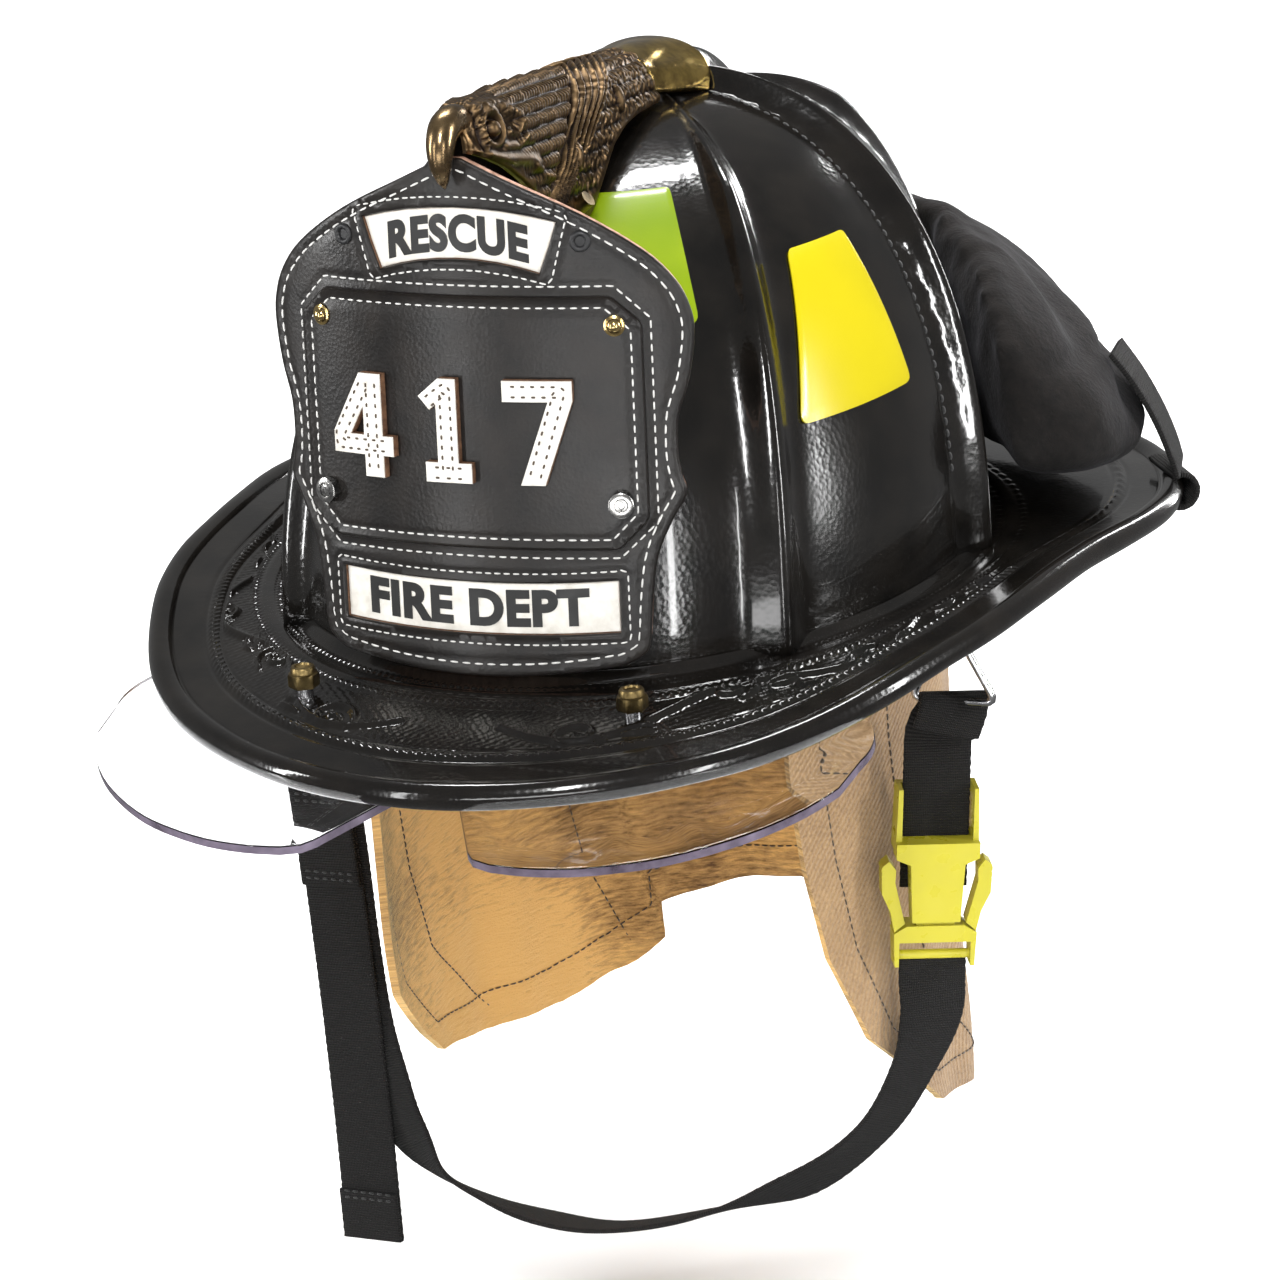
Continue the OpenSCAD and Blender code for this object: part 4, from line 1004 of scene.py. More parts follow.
def build_shield():
    corners = shield_corners()
    near_windows = line_distance([TOP_FRAME, BOTTOM_FRAME])
    near_rim = line_distance([corners])

    def relief(u, v):
        rim = near_rim(u, v)
        seam = near_windows(u, v)
        return (-0.45 * np.exp(-((rim - 3.6) / 0.8) ** 2) + 0.25 * np.exp(-((rim - 1.9) / 0.9) ** 2)
                - 0.45 * np.exp(-(seam / 0.8) ** 2) + 0.25 * np.exp(-((seam - 1.8) / 0.9) ** 2)
                - 0.35 * np.exp(-((line_outer(u, v)) / 0.9) ** 2))
    line_outer = line_distance([OUTER_SEAM])
    plate("shield", corners, [TOP_WINDOW, BOTTOM_WINDOW], shield_at, 0.0, -SHIELD_LEATHER,
          [SHIELD_BLACK, RAW_EDGE, BROWN_EDGE], spacing=1.7, edge=0.7, relief=relief, step=1.4,
          replaces=("front_shield",), slot="shield_leather", sharp=50)
    near_inner = line_distance([INNER_SEAM])
    near_panel = line_distance([PANEL])

    def panel_relief(u, v):
        d, e = near_inner(u, v), near_panel(u, v)
        return -0.5 * np.exp(-(d / 0.8) ** 2) + 0.5 * np.exp(-((e - 1.2) / 0.8) ** 2)
    plate("shield_panel", rounded(PANEL, 2.0), [], shield_at, PANEL_T, 0.02, [SHIELD_BLACK, SHIELD_BLACK],
          spacing=1.7, edge=0.7, relief=panel_relief, step=1.4, replaces=("number_panel",), slot="shield_leather",
          sharp=50)
    rim = inset(outline(corners, 1.5), 3.6)
    parts = [shield_stitches(rim, -0.3, pitch=4.0, length=3.1, radius=0.3),
             shield_stitches(OUTER_SEAM, -0.25, pitch=3.4, length=2.5, radius=0.28),
             shield_stitches(INNER_SEAM, PANEL_T - 0.35, pitch=3.4, length=2.5, radius=0.28),
             shield_stitches(TOP_FRAME, -0.3, pitch=2.8, length=2.1, radius=0.27),
             shield_stitches(BOTTOM_FRAME, -0.3, pitch=2.9, length=2.2, radius=0.27)]
    v, f = join(parts)
    piece("shield_stitching", v, f, [WHITE_THREAD], slot="white_leather", tidy=False)
    # white plates sunk in the windows
    for name, window, node in (("plate_top", TOP_WINDOW, "top_plate"), ("plate_bottom", BOTTOM_WINDOW, "bottom_plate")):
        plate(name, inset(outline(window, 2), 0.12), [], shield_at, -1.3, -2.48, [WHITE_LEATHER, BROWN_EDGE],
              spacing=5, edge=0.3, replaces=(node,), slot="white_leather")
        plate(name + "_backing", inset(outline(window, 2), -0.05), [], shield_at, -2.5, -SHIELD_LEATHER,
              [SHIELD_BLACK, SHIELD_BLACK], spacing=5, edge=0.1, slot="shield_leather")
    lettering("word_top", "RESCUE", shield_at, (0, 124), (45, 11.2), (-1.32, -1.02), LETTER_BLACK, 4)
    lettering("word_bottom", "FIRE DEPT", shield_at, (0, 17.8), (72, 11.2), (-1.32, -1.02), LETTER_BLACK, -1.2)
    # digits cut from thick leather and sewn with two rows of dark thread
    parts, first = [], True
    for name, d in DIGITS.items():
        def local(u, v, off, at=d["at"]):
            return shield_at(np.asarray(u, float) + at - 10.5, np.asarray(v, float) + 55, off)
        plate("digit_" + name, d["outer"], [d["hole"]] if d["hole"] else [], local, PANEL_T + 3.0, PANEL_T + 0.05,
              [WHITE_LEATHER, BROWN_EDGE, BROWN_EDGE], spacing=2.5, edge=0.5, step=1.2,
              replaces=("shield_numerals",) if first else (), slot="white_leather", sharp=40)
        first = False
        for line in d["lines"]:
            p, _ = resample(line, 0.6)
            t = unit(np.gradient(p, axis=0))
            for way in (-1.55, 1.55):
                q = p + np.stack([-t[:, 1], t[:, 0]], -1) * way
                pts = local(q[:, 0], q[:, 1], PANEL_T + 2.98)
                parts.append(stitch_parts(pts, shield_normal(q[:, 0] + d["at"], q[:, 1] + 55), 2.9, 1.5, 0.34))
    v, f = join(parts)
    piece("digit_stitching", v, f, [BROWN_THREAD], slot="black_leather", tidy=False)
    # studs, nuts and eyelets
    studs, nuts, eyelets = [], [], []
    dome = [(3.1, 0), (3.1, 0.35), (2.5, 0.6), (2.3, 0.65)] + [
        (2.25 * math.cos(q), 0.65 + 1.75 * math.sin(q)) for q in np.linspace(0.1, 1.5, 8)]
    nut = [(3.7, 0, True), (4.0, 0.4, True), (4.0, 2.3, True), (3.75, 2.75, False), (3.2, 2.95, False),
           (2.15, 2.9, False), (2.05, 2.4, False)]
    bolt = [(2.0, -0.4), (2.0, 2.4), (1.8, 2.7), (1.0, 2.75), (0.8, 2.3), (0.2, 2.2)]
    eye = [(1.5, -0.6), (1.5, 0.3), (1.9, 0.75), (2.6, 0.85), (3.1, 0.5), (3.15, 0.0)]
    for way in (-1, 1):
        z = shield_normal(way * STUD_U, STUD_V)
        studs.append(placed(lathe(dome), shield_at(way * STUD_U, STUD_V, PANEL_T), z))
        nuts.append(placed(lathe(nut, 48), shield_at(way * STUD_U, NUT_V, PANEL_T), z, (0.9, 0, 0.3)))
        nuts.append(placed(lathe(bolt), shield_at(way * STUD_U, NUT_V, PANEL_T), z))
        eyelets.append(placed(lathe(eye), shield_at(way * 38, 126, 0), shield_normal(way * 38, 126)))
    piece("panel_studs", *join(studs), [STUD_BRASS], replaces=("shield_studs",), slot="brass", sharp=50)
    piece("panel_nuts", *join(nuts), [NICKEL], replaces=("shield_nuts",), slot="nickel", sharp=35)
    piece("black_eyelets", *join(eyelets), [BLACK_PLASTIC], replaces=("shield_eyelets",), slot="black_plastic", sharp=60)

# ------------------------------------------------------------------ crest

CREST_W = [(-113, 4.5), (-106, 7.8), (-98, 9.8), (-88, 11.3), (-76, 12.6), (-64, 13.4), (-50, 13.4), (8, 13)]
CREST_TOP = [(-113, 167.5), (-106, 170), (-95, 170), (-80, 168.5), (-64, 167), (-48, 165), (-32, 163), (-16, 161),
             (-4, 159.8), (8, 158.8)]
CREST_LOW = [(-113, 157), (-106, 153.5), (-98, 149), (-90, 143), (-82, 135), (-75, 128), (-66, 122.5),
             (-58, 121.5), (-50, 123.5), (-40, 131), (-30, 139), (-20, 142.5), (-10, 143.5), (8, 143)]
EYE, BROW = (-101.5, 161.5), [(-111, 168), (-104, 168.4), (-97, 167.2), (-90, 164), (-86, 160.5)]
LIP = [(-113.5, 160.5), (-110, 157), (-104, 153.6), (-96, 151.2), (-88, 149), (-82, 147)]
CHEEK = [[(-98, 155.5), (-91, 153.8), (-86, 155.5), (-84, 159)], [(-94, 158.6), (-90, 157), (-88, 159.5)],
         [(-84, 146), (-79, 142.5), (-72, 139)]]
DROPS = [((-20.5, 150.8), 2.3, 4.2), ((-54.5, 141.2), 2.3, 4.4)]


def ridge(y, z, line, width):
    p, _ = resample(line, 0.5)
    d = np.min(np.hypot(y[..., None] - p[:, 0], z[..., None] - p[:, 1]), axis=-1)
    return np.exp(-(d / width) ** 2)


def feathers(a, b, long, tall):
    """Overlapping barbed strips, long along a and tall along b."""
    row = np.floor(b / tall)
    along = (a + row * long * 0.47 + np.sin(row * 2.1) * 1.3) / long % 1
    across = b / tall % 1
    body = 1 - np.abs(2 * across - 1) ** 3
    tip = along ** 0.6 * np.clip((1 - along) / 0.1, 0, 1)
    barbs = 0.13 * np.sin(2 * math.pi * (a * 0.8 + np.abs(across - 0.5) * 2.2) / 1.25)
    return body * (tip + barbs)


def build_crest():
    a = np.linspace(-113, 8, 300)
    q = np.linspace(-1, 1, 250)
    aa, qq = np.meshgrid(a, q, indexing="ij")
    w, top, low = lookup(aa, CREST_W), lookup(aa, CREST_TOP), lookup(aa, CREST_LOW)
    smooth = np.exp(-((np.arange(-12, 13)) / 5.0) ** 2)
    smooth /= smooth.sum()
    for k, table_ in enumerate((w, top, low)):
        pad = np.pad(table_[:, 0], 12, mode="edge")
        table_[:] = np.convolve(pad, smooth, "valid")[:, None]
    x = w * np.sin(qq * math.pi / 2)
    z = low + (top - low) * np.cos(qq * math.pi / 2) ** 0.72
    p = np.stack([x, aa, z], -1)
    n = unit(np.cross(np.gradient(p, axis=0), np.gradient(p, axis=1)))
    n *= np.where(n[..., 2:3] < -0.2, -1, 1) * np.where(n[..., 2:3] < 0, 1, 1)
    flip = np.sign(np.sum(n * np.stack([x, 0 * x, z - 140], -1), -1, keepdims=True))
    n *= np.where(flip == 0, 1, flip)
    b = np.abs(np.cumsum(np.concatenate([np.zeros((len(a), 1)), np.linalg.norm(np.diff(p, axis=1), axis=-1)], 1), 1)
               - np.linalg.norm(np.diff(p, axis=1), axis=-1).sum(1)[:, None] / 2)
    start = -40 - 1.15 * (b - 5)
    end = -13 - 1.5 * (b - 5)
    head, fold = 1 / (1 + np.exp((aa + 91) * 0.9)), 1 / (1 + np.exp(-(aa - start) * 1.2))
    neck = 1 / (1 + np.exp(-(aa - end) * 1.0))
    plume = (1 - head) * (1 - fold)
    share = np.clip((aa - start) / np.maximum(end - start, 1), 0, 1)
    rough = 0.35 * np.sin(aa * 1.1 + 2 * np.sin(b * 0.8)) * np.sin(b * 1.15 + 2 * np.cos(aa * 0.6))
    h = plume * 1.35 * feathers(aa, b, 11.5, 4.3)
    h += fold * (1 - neck) * (1.7 * np.abs(np.sin(math.pi * (5.5 * share + 0.25 * np.sin(b * 0.35)))) ** 1.3 + 0.4 * rough)
    h += neck * (0.9 * feathers(aa * 1.0 + 3, b + 1.5, 6.5, 5.2) + 0.7 * rough)
    h += head * (0.35 * feathers(aa, b, 3.4, 2.4) * (z > 163) + 0.25 * rough)
    side = np.hypot(aa - EYE[0], z - EYE[1])
    flank = np.clip((b - 2) / 3, 0, 1)
    calm = 1 - 0.85 * np.exp(-(side / 6) ** 4)
    h = h * calm * (1 - 0.9 * ridge(aa, z, LIP, 3.2))
    h += flank * (1.9 * np.sqrt(np.clip(1 - (side / 2.5) ** 2, 0, 1)) - 0.9 * np.exp(-((side - 3.0) / 0.8) ** 2)
                  + 0.9 * np.exp(-((side - 4.6) / 1.0) ** 2))
    h += flank * (2.1 * ridge(aa, z, BROW, 1.9) + 1.6 * ridge(aa, z, LIP, 1.9))
    for line in CHEEK:
        h += flank * 1.0 * ridge(aa, z, line, 1.1)
    h -= 0.9 * np.exp(-((aa + 108.2) / 0.8) ** 2)
    h += 0.55 * np.exp(-((aa + 106.4) / 0.9) ** 2) * (0.5 + 0.5 * np.sin(b * 3.6))
    for (y0, z0), ry, rz in DROPS:
        d = np.hypot((aa - y0) / ry, (z - z0 - (aa - y0) * 0.2) / rz)
        h = np.where(d < 1.3, h * np.clip(d - 0.6, 0, 1), h) + 2.0 * np.sqrt(np.clip(1 - d * d, 0, 1))
    h -= 1.6 * np.exp(-((aa - start - 1) / 1.1) ** 2) * (aa > -86)
    h *= np.clip((1 - np.abs(qq)) / 0.03, 0, 1)
    h += 1.0 * np.exp(-((1 - np.abs(qq)) / 0.035) ** 2)
    outer = p + n * h[..., None]
    inner = p - n * 2.2
    verts, faces, marks = closed_sheet(outer, inner)
    piece("crest_head", verts, faces, [BRONZE], replaces=("crest_eagle",), slot="bronze")
    path = smooth_line([(0, -104, 164.3), (0, -109, 165.6), (0, -114, 166.4), (0, -118.3, 165.2), (0, -121.2, 161.8),
                        (0, -122.4, 157), (0, -122.0, 152.4), (0, -120.8, 148.4)], 7)
    k = np.linspace(0, 1, len(path))
    radii = lookup(k, [(0, 4.6), (0.2, 4.9), (0.42, 4.7), (0.6, 4.2), (0.78, 3.2), (0.92, 1.7), (1, 0.35)])
    verts, faces = tube(path, radii, 28, up=(1, 0, 0), flat=(0.98, 1.0))
    piece("crest_beak_hook", verts, faces, [BEAK_BRONZE], replaces=("crest_beak",), slot="polished_bronze")
    # the flared mouth behind the neck
    y = np.linspace(6.5, 38, 60)
    s = np.linspace(-1, 1, 90)
    yy, ss = np.meshgrid(y, s, indexing="ij")
    k = (yy - 6.5) / 31.5
    w = 13.2 + 9.0 * k ** 1.15
    top, low = 158.9 - 2.4 * k ** 1.2, 146.5 - 4.5 * k ** 0.9
    y3 = yy - 9 * k * np.abs(ss) ** 2.2
    z3 = low + (top - low) * np.cos(ss * math.pi / 2) ** 0.8
    dent = 1.0 * np.sin(ss * 8.5 + 0.6) * np.sin(k * math.pi) + 0.6 * np.sin(ss * 17 + k * 6) * k * (1 - k) * 2
    p = np.stack([w * np.sin(ss * math.pi / 2) * (1 + 0.03 * dent), y3, z3 + dent * 0.6], -1)
    under = p - np.stack([np.sin(ss * math.pi / 2) * 1.1, 0 * ss, 1.0 + 0 * ss], -1)
    verts, faces, marks = closed_sheet(p, under)
    piece("crest_mouth", verts, faces, [BRASS], replaces=("crest_flare",), slot="brass")


# The front pair (lime) wears a darker, greener copy of the one film: painted shade.
MARKERS = {
    "marker_lime_painted_shade": (LIME_FILM_PAINTED_SHADE, "markers_lime", "lime_reflective", [(22, 38, 60, 15.5, 11.5), (338, 38, 60, 15.5, 11.5)]),
    "marker_yellow": (YELLOW_FILM, "markers_yellow", "yellow_reflective",
                      [(67.5, 22.5, 45.5, 13.2, 8.3), (292.5, 22.5, 45.5, 13.2, 8.3), (160.5, 22.5, 45.5, 10.5, 7), (199.5, 22.5, 45.5, 10.5, 7)]),
}


def build_markers():
    for name, (mat, node, slot, films) in MARKERS.items():
        parts = []
        for middle, low, high, half_low, half_high in films:
            v, u = np.meshgrid(np.linspace(0, 1, 30), np.linspace(-1, 1, 30), indexing="ij")
            # square with rounded corners
            r = 0.12
            cu, cv = np.clip((np.abs(u) - 1 + r) / r, 0, 1), np.clip((np.abs(2 * v - 1) - 1 + r) / r, 0, 1)
            pull = np.maximum(np.maximum(cu, cv), 1e-6) / np.maximum(np.hypot(cu, cv), 1e-6)
            u = np.sign(u) * (np.minimum(np.abs(u), 1 - r) + r * cu * pull)
            v = 0.5 + np.sign(v - 0.5) * 0.5 * (np.minimum(np.abs(2 * v - 1), 1 - r) + r * cv * pull)
            t = middle + (half_low + (half_high - half_low) * v) * u
            f = low + (high - low) * v
            rim = np.clip(np.minimum((1 - np.abs(u)) * 20, (0.5 - np.abs(v - 0.5)) * 40), 0, 1)
            lift = comb(t, f)
            verts, faces, _ = closed_sheet(crown_at(t, f, lift + 0.85 + 0.25 * rim), crown_at(t, f, lift + 0.3))
            parts.append((verts, faces))
        piece(name, *join(parts), [mat], replaces=(node,), slot=slot, sharp=50)


# ------------------------------------------------------------------ eyeshields


def lens_outline():
    arc = [(98 + 23.5 * math.cos(math.radians(q)), -22.5 + 25 * math.sin(math.radians(q))) for q in range(-14, 84, 8)]
    nose = [(4, -55), (24, -92.5), (27, -96), (33, -98)]
    bow = [tuple(p) for p in smooth_line([(33, -98), (44, -98.5), (57, -97), (70, -93), (82, -87.5), (94, -79),
                                          (105, -68.5), (114, -56), (119.5, -44)], 3)[1:]]
    return nose + bow + arc + [(88, 0), (78, -4.5), (34, -4.5), (14, -10), (4, -24)]


def build_lenses():
    c, s = math.cos(math.radians(LENS_SLOPE)), math.sin(math.radians(LENS_SLOPE))
    for name, side in (("left", 1), ("right", -1)):
        def place(u, v, off, side=side):
            return np.stack(np.broadcast_arrays(side * np.asarray(u), HINGE_Y + v * c - off * s,
                                                HINGE_Z + v * s + off * c), -1)
        holes = [[(x + 1.6 * math.cos(q), -13 + 1.6 * math.sin(q)) for q in np.linspace(0, 2 * math.pi, 12)[:-1]]
                 for x in (HINGE_X - 5.5, HINGE_X + 5.5)]
        plate("eyeshield_lens_" + name, lens_outline(), holes, place, LENS_T / 2, -LENS_T / 2,
              [CLEAR, LENS_EDGE, LENS_EDGE], spacing=12, edge=0.5, step=2.5, body="eyeshield_" + name,
              replaces=("lens_" + name,), slot="clear", sharp=35)


# ------------------------------------------------------------------ curtain

CURTAIN_FRONT = [(-185, 92), (-172, 84), (-158, 76), (-145, 68), (-112, 59), (-80, 55), (-50, 53), (0, 53)]
CURTAIN_FOOT = [(92, -183), (108, -190), (125, -192), (140, -187), (150, -178), (152, -165), (165, -161),
                (180, -159)]


def curtain_at(s, q, side, off):
    """s runs from the back (0) to the front edge (1), q from the hem (0) to the top (1)."""
    foot = lookup(92 + 88 * (1 - s), CURTAIN_FOOT)
    z = foot + (-2 - foot) * q
    edge = lookup(z, CURTAIN_FRONT)
    t = edge + (180 - edge) * (1 - s)
    a = np.radians(t)
    hang = np.clip(1.25 - q, 0, 1)
    fold = hang * (1.5 * np.sin(t * 0.19 + 0.8 + 0.9 * q) + 0.9 * np.sin(t * 0.43 + 2.2 * q + side)
                   + 0.5 * np.sin(z * 0.09 + t * 0.1))
    b = np.where(t < 90, CURTAIN_HALF_LENGTH, CURTAIN_REAR)
    # the front edges hang flat, just inside the chin strap
    loose = np.clip((t - 84) / 22, 0, 1)
    off = off + fold * loose - 1.6 * (1 - loose)
    return np.stack([(CURTAIN_HALF_WIDTH + off) * np.sin(a) * side, -(b + off) * np.cos(a), z], -1)


def build_curtain():
    s1 = np.concatenate([np.linspace(0, 0.93, 150), np.linspace(0.936, 1, 16)])
    signed = np.concatenate([-s1[:0:-1], s1])
    q = np.concatenate([np.linspace(0, 0.09, 16), np.linspace(0.1, 1, 90)])
    ss, qq = np.meshgrid(signed, q)
    side = np.where(ss < 0, -1.0, 1.0)
    s = np.abs(ss)
    hem = np.clip(1.3 - qq / 0.055, 0, 1) ** 0.3 * (qq < 0.0715)
    front = (s > 0.945) * 1.0
    thick = 0.55 * np.maximum(hem, front)
    nap = 0.18 * np.sin(s * 900 + qq * 40) * np.sin(qq * 310 + s * 60)
    outer = curtain_at(s, qq, side, CURTAIN_T - 0.5 + thick * 0.5 + nap * 0.4)
    inner = curtain_at(s, qq, side, 0.1 - thick + nap)
    verts, faces, marks = closed_sheet(outer, inner)
    arc = np.concatenate([[0], np.cumsum(np.linalg.norm(np.diff(outer[0], axis=0), axis=1))])
    uv = np.stack([np.broadcast_to(arc, ss.shape), outer[..., 2]], -1).reshape(-1, 2) * MM
    cloth = piece("curtain", verts, faces, [TWILL, NAP, NAP], marks=marks, uv=np.vstack([uv, uv]),
                  replaces=("neck_curtain",), slot="tan_cloth", sharp=60)
    lines = []
    for way in (-1, 1):
        k = np.linspace(0, 1, 260)
        lines.append((k * 0.945, np.full(260, 0.0725), way))
        lines.append((np.full(260, 0.945), 0.0725 + k * 0.92, way))
        lines.append((np.full(260, 0.80), 0.03 + k * 0.95, way))
        lines.append((np.full(260, 0.42), 0.03 + k * 0.95, way))
    parts = []
    for s_, q_, way in lines:
        side_ = np.full(len(s_), float(way))
        for off, sign in ((CURTAIN_T - 0.35, 1), (-0.1, -1)):
            pts = curtain_at(s_, q_, side_, off)
            nrm = curtain_at(s_, q_, side_, off + sign) - pts
            parts.append(stitch_parts(pts, nrm, 3.0, 2.3, 0.28, 5))
    seams = piece("curtain_seams", *join(parts), [BROWN_THREAD], slot="tan_cloth", tidy=False)


# ------------------------------------------------------------------ webbing

SECTION = [(-0.5, -0.25), (-0.485, -0.42), (-0.44, -0.5), (-0.2, -0.5), (0, -0.5), (0.2, -0.5), (0.44, -0.5),
           (0.485, -0.42), (0.5, -0.25), (0.5, 0.25), (0.485, 0.42), (0.44, 0.5), (0.2, 0.5), (0, 0.5), (-0.2, 0.5),
           (-0.44, 0.5), (-0.485, 0.42), (-0.5, 0.25)]


def webbing(route, towards, w=WEBBING_W, t=WEBBING_T, curl=0.0, step=1.4, ends=(1.0, 1.0)):
    """Points, faces and UVs of a flat strap along a route, its face turned towards a direction."""
    n = 8
    p, k = smooth_line(route, n), smooth_line(np.hstack([route, towards]), n)[:, 3:]
    d = np.concatenate([[0], np.cumsum(np.linalg.norm(np.diff(p, axis=0), axis=1))])
    at = np.linspace(0, d[-1], max(4, int(d[-1] / step)))
    p = np.stack([np.interp(at, d, p[:, i]) for i in range(3)], -1)
    k = np.stack([np.interp(at, d, k[:, i]) for i in range(3)], -1)
    tan = unit(np.gradient(p, axis=0))
    face = unit(k - tan * np.sum(k * tan, 1)[:, None])
    side = np.cross(tan, face)
    sec = np.array(SECTION)
    wave = 1 + 0.012 * np.sin(at * 1.9)
    ribs = 0.045 * np.sin(at * 4.4)
    across, deep = sec[:, 0] * w, sec[:, 1] * t
    grid = (p[:, None] + side[:, None] * across[None, :, None] * wave[:, None, None]
            + face[:, None] * (deep[None, :, None] * (1 + ribs[:, None, None])
                               + curl * (np.abs(sec[:, 0])[None, :, None] * 2) ** 2))
    faces = quads(len(p), len(sec), True).tolist()
    m = (len(p) - 1) * len(sec)
    faces += [list(range(len(sec)))[::-1], list(range(m, m + len(sec)))]
    uv = np.stack(np.broadcast_arrays(across[None], at[:, None]), -1).reshape(-1, 2) * MM
    return grid.reshape(-1, 3), faces, uv


def strap(name, layers, body, replaces=()):
    verts, faces, uvs, n = [], [], [], 0
    for v, f, uv in layers:
        verts.append(v)
        uvs.append(uv)
        faces += [[i + n for i in face] for face in f]
        n += len(v)
    return piece(name, np.vstack(verts), faces, [WEBBING], body=body, uv=np.vstack(uvs), replaces=replaces,
                 slot="black_webbing", sharp=60)


STRAP_ROUTE = [(101.4, -31.5, -117), (100, -29.5, -127), (98.5, -28, -140), (92.5, -28, -157), (77, -28, -182),
               (50, -28, -204), (14, -28, -219), (-18, -28, -227), (-43, -28, -226), (-63, -28, -221),
               (-79, -28, -213), (-90, -28, -198), (-96, -28, -180), (-101, -28, -160), (-103, -28, -130),
               (-104, -28, -100), (-106, -28, -70), (-110, -28, -36)]
STRAP_FACES = [(0.5, -1, 0), (0.5, -1, 0), (0.8, -0.9, 0), (1, -0.55, 0), (1, -0.4, 0), (1, -0.4, 0), (0.3, -0.3, -1),
               (0, -0.3, -1), (0, -0.3, -1), (0, -0.5, -1), (-0.3, -0.6, -0.6), (-0.4, -1, 0), (-0.2, -1, 0),
               (0, -1, 0), (0, -1, 0), (0, -1, 0), (0, -1, 0), (0, -1, 0)]
BUCKLE_AT, BUCKLE_YAW, BUCKLE_TILT = np.array([102.0, -28.0, -92.0]), 28.0, 5.0


def in_buckle(points, vector=False):
    """From the buckle's own frame to the row frame."""
    m = np.array(Matrix.Rotation(math.radians(BUCKLE_YAW), 3, "Z") @ Matrix.Rotation(math.radians(BUCKLE_TILT), 3, "Y"))
    out = np.asarray(points, float) @ m.T
    return out if vector else out + BUCKLE_AT


def row_of_stitches(centre, side, along, normal, count, half, mat, name, body, gap=2.3):
    """Short rows of thread across a strap."""
    parts = []
    for k in range(count):
        mid = np.asarray(centre, float) + np.asarray(along, float) * gap * k
        p = mid + np.linspace(-half, half, 12)[:, None] * unit(side)
        parts.append(stitch_parts(p, np.tile(unit(normal), (12, 1)), 2.6, 2.0, 0.36, 5))
    return parts


def build_straps():
    y2 = STRAP_Y - WEBBING_T - 0.1
    strap("chin_webbing", [webbing(STRAP_ROUTE, STRAP_FACES)], "chin_strap", ("chin_strap",))
    bar = np.array([3.74, -4.7, 58.5])
    hang = [(0, 0, -4), (0, 0, 20), (0, 0, 38), (0, -0.3, 45.5), (1.0, -1.5, 49.5), (3.0, -3.4, 53.5)]
    turn = [(bar[0], bar[1] + 2.3 * math.cos(q), bar[2] + 2.3 * math.sin(q)) for q in np.linspace(0.2, 2.9, 7)]
    back = [(3.2, -6.9, 55.5), (2.4, -5.6, 51.5), (1.7, -4.2, 48)]
    hang_face = [(0, -1, 0)] * 4 + [(-0.1, -1, 0), (-0.2, -1, 0)]
    turn_face = [(0, -math.cos(q), -math.sin(q)) for q in np.linspace(0.2, 2.9, 7)]
    hang = in_buckle(hang + turn + back)
    hang_face = in_buckle(hang_face + turn_face + [(0, 1, 0)] * 3, True)
    strap("hanger_webbing", [webbing(hang, hang_face)], "chin_strap", ("strap_hanger",))
    tail = [(-111, y2, -36), (-107, y2, -90), (-105, y2, -140), (-104, y2, -190), (-104, y2, -240)]
    fold = [(-104, y2 - 1.7, -222), (-104, y2 - 1.7, -231), (-104, y2 - 1.6, -239.5)]
    cuff = [(-110.6, y2 - 1.7, -40), (-107.5, y2 - 1.7, -82), (-106.2, y2 - 1.7, -112)]
    strap("tail_webbing", [webbing(tail, [(0, -1, 0)] * 5), webbing(fold, [(0, -1, 0)] * 3),
                           webbing(cuff, [(0, -1, 0)] * 3)], "chin_strap", ("strap_tail",))
    parts = []
    for z, x in ((-224.5, -104), (-109.5, -106.3), (-84, -107.3), (-46, -110.2)):
        parts += row_of_stitches((x, y2 - 2.6, z), (1, 0, 0), (0, 0, 1), (0, -1, 0), 2, 9, WHITE_THREAD, "", "")
    piece("strap_stitching", *join(parts), [BLACK_THREAD], body="chin_strap", slot="black_webbing", tidy=False)


def build_rings():
    parts = []
    for side in (-1, 1):
        corners = [(0, 2.6), (-13.8, -24), (13.8, -24)]
        loop = rounded(corners, 4.0, 1.2)
        p = np.stack([side * 112 + loop[:, 0] * 1.0, np.full(len(loop), STRAP_Y), -10 + loop[:, 1]], -1)
        parts.append(tube(p, 1.3, 14, up=(0, 1, 0), loop=True))
    piece("strap_ring_wires", *join(parts), [STEEL], body="chin_strap", replaces=("strap_rings",), slot="spring_wire")

# ------------------------------------------------------------------ soft pieces

COVER_SECTION = [(8, 91), (17, 90), (29, 79), (42, 62), (54, 43), (65, 22), (63, 9), (50, 3.5), (30, 3), (12, 5),
                 (7, 16), (7, 50)]
COVER_FROM = 103.0


def cover_at(t, k, shrink=0.0):
    """A point on the goggle cover: degrees round, and a share of the way round its section."""
    sec = np.array(COVER_SECTION + COVER_SECTION[:1])
    line = np.array(smooth_line(sec, 10))
    at = np.linspace(0, 1, len(line))
    rho, z = np.interp(k, at, line[:, 0]), np.interp(k, at, line[:, 1])
    g = np.clip(np.sin((t - COVER_FROM) / (360 - 2 * COVER_FROM) * math.pi), 1e-4, 1) ** 0.2
    mid = np.array([14.0, 34.0])
    back = np.clip((np.abs(t - 180) - 8) / 40, 0.0, 1)
    rho = mid[0] + (rho - mid[0]) * g * (0.66 + 0.34 * back)
    z = mid[1] + (z - mid[1]) * g
    a = np.radians(t)
    f = np.degrees(np.arcsin(np.clip((np.clip(z, 0, 140) / CROWN_HEIGHT) ** (CROWN_SQUARENESS / 2), 0, 1)))
    base = crown_at(t, f, comb(t, f) * 0.6)
    out = np.stack([np.sin(a), -np.cos(a), 0 * a], -1)
    rho = rho - shrink * (rho > 20)
    p = base * np.array([1, 1, 0]) + out * rho[..., None]
    p[..., 2] = z
    return p


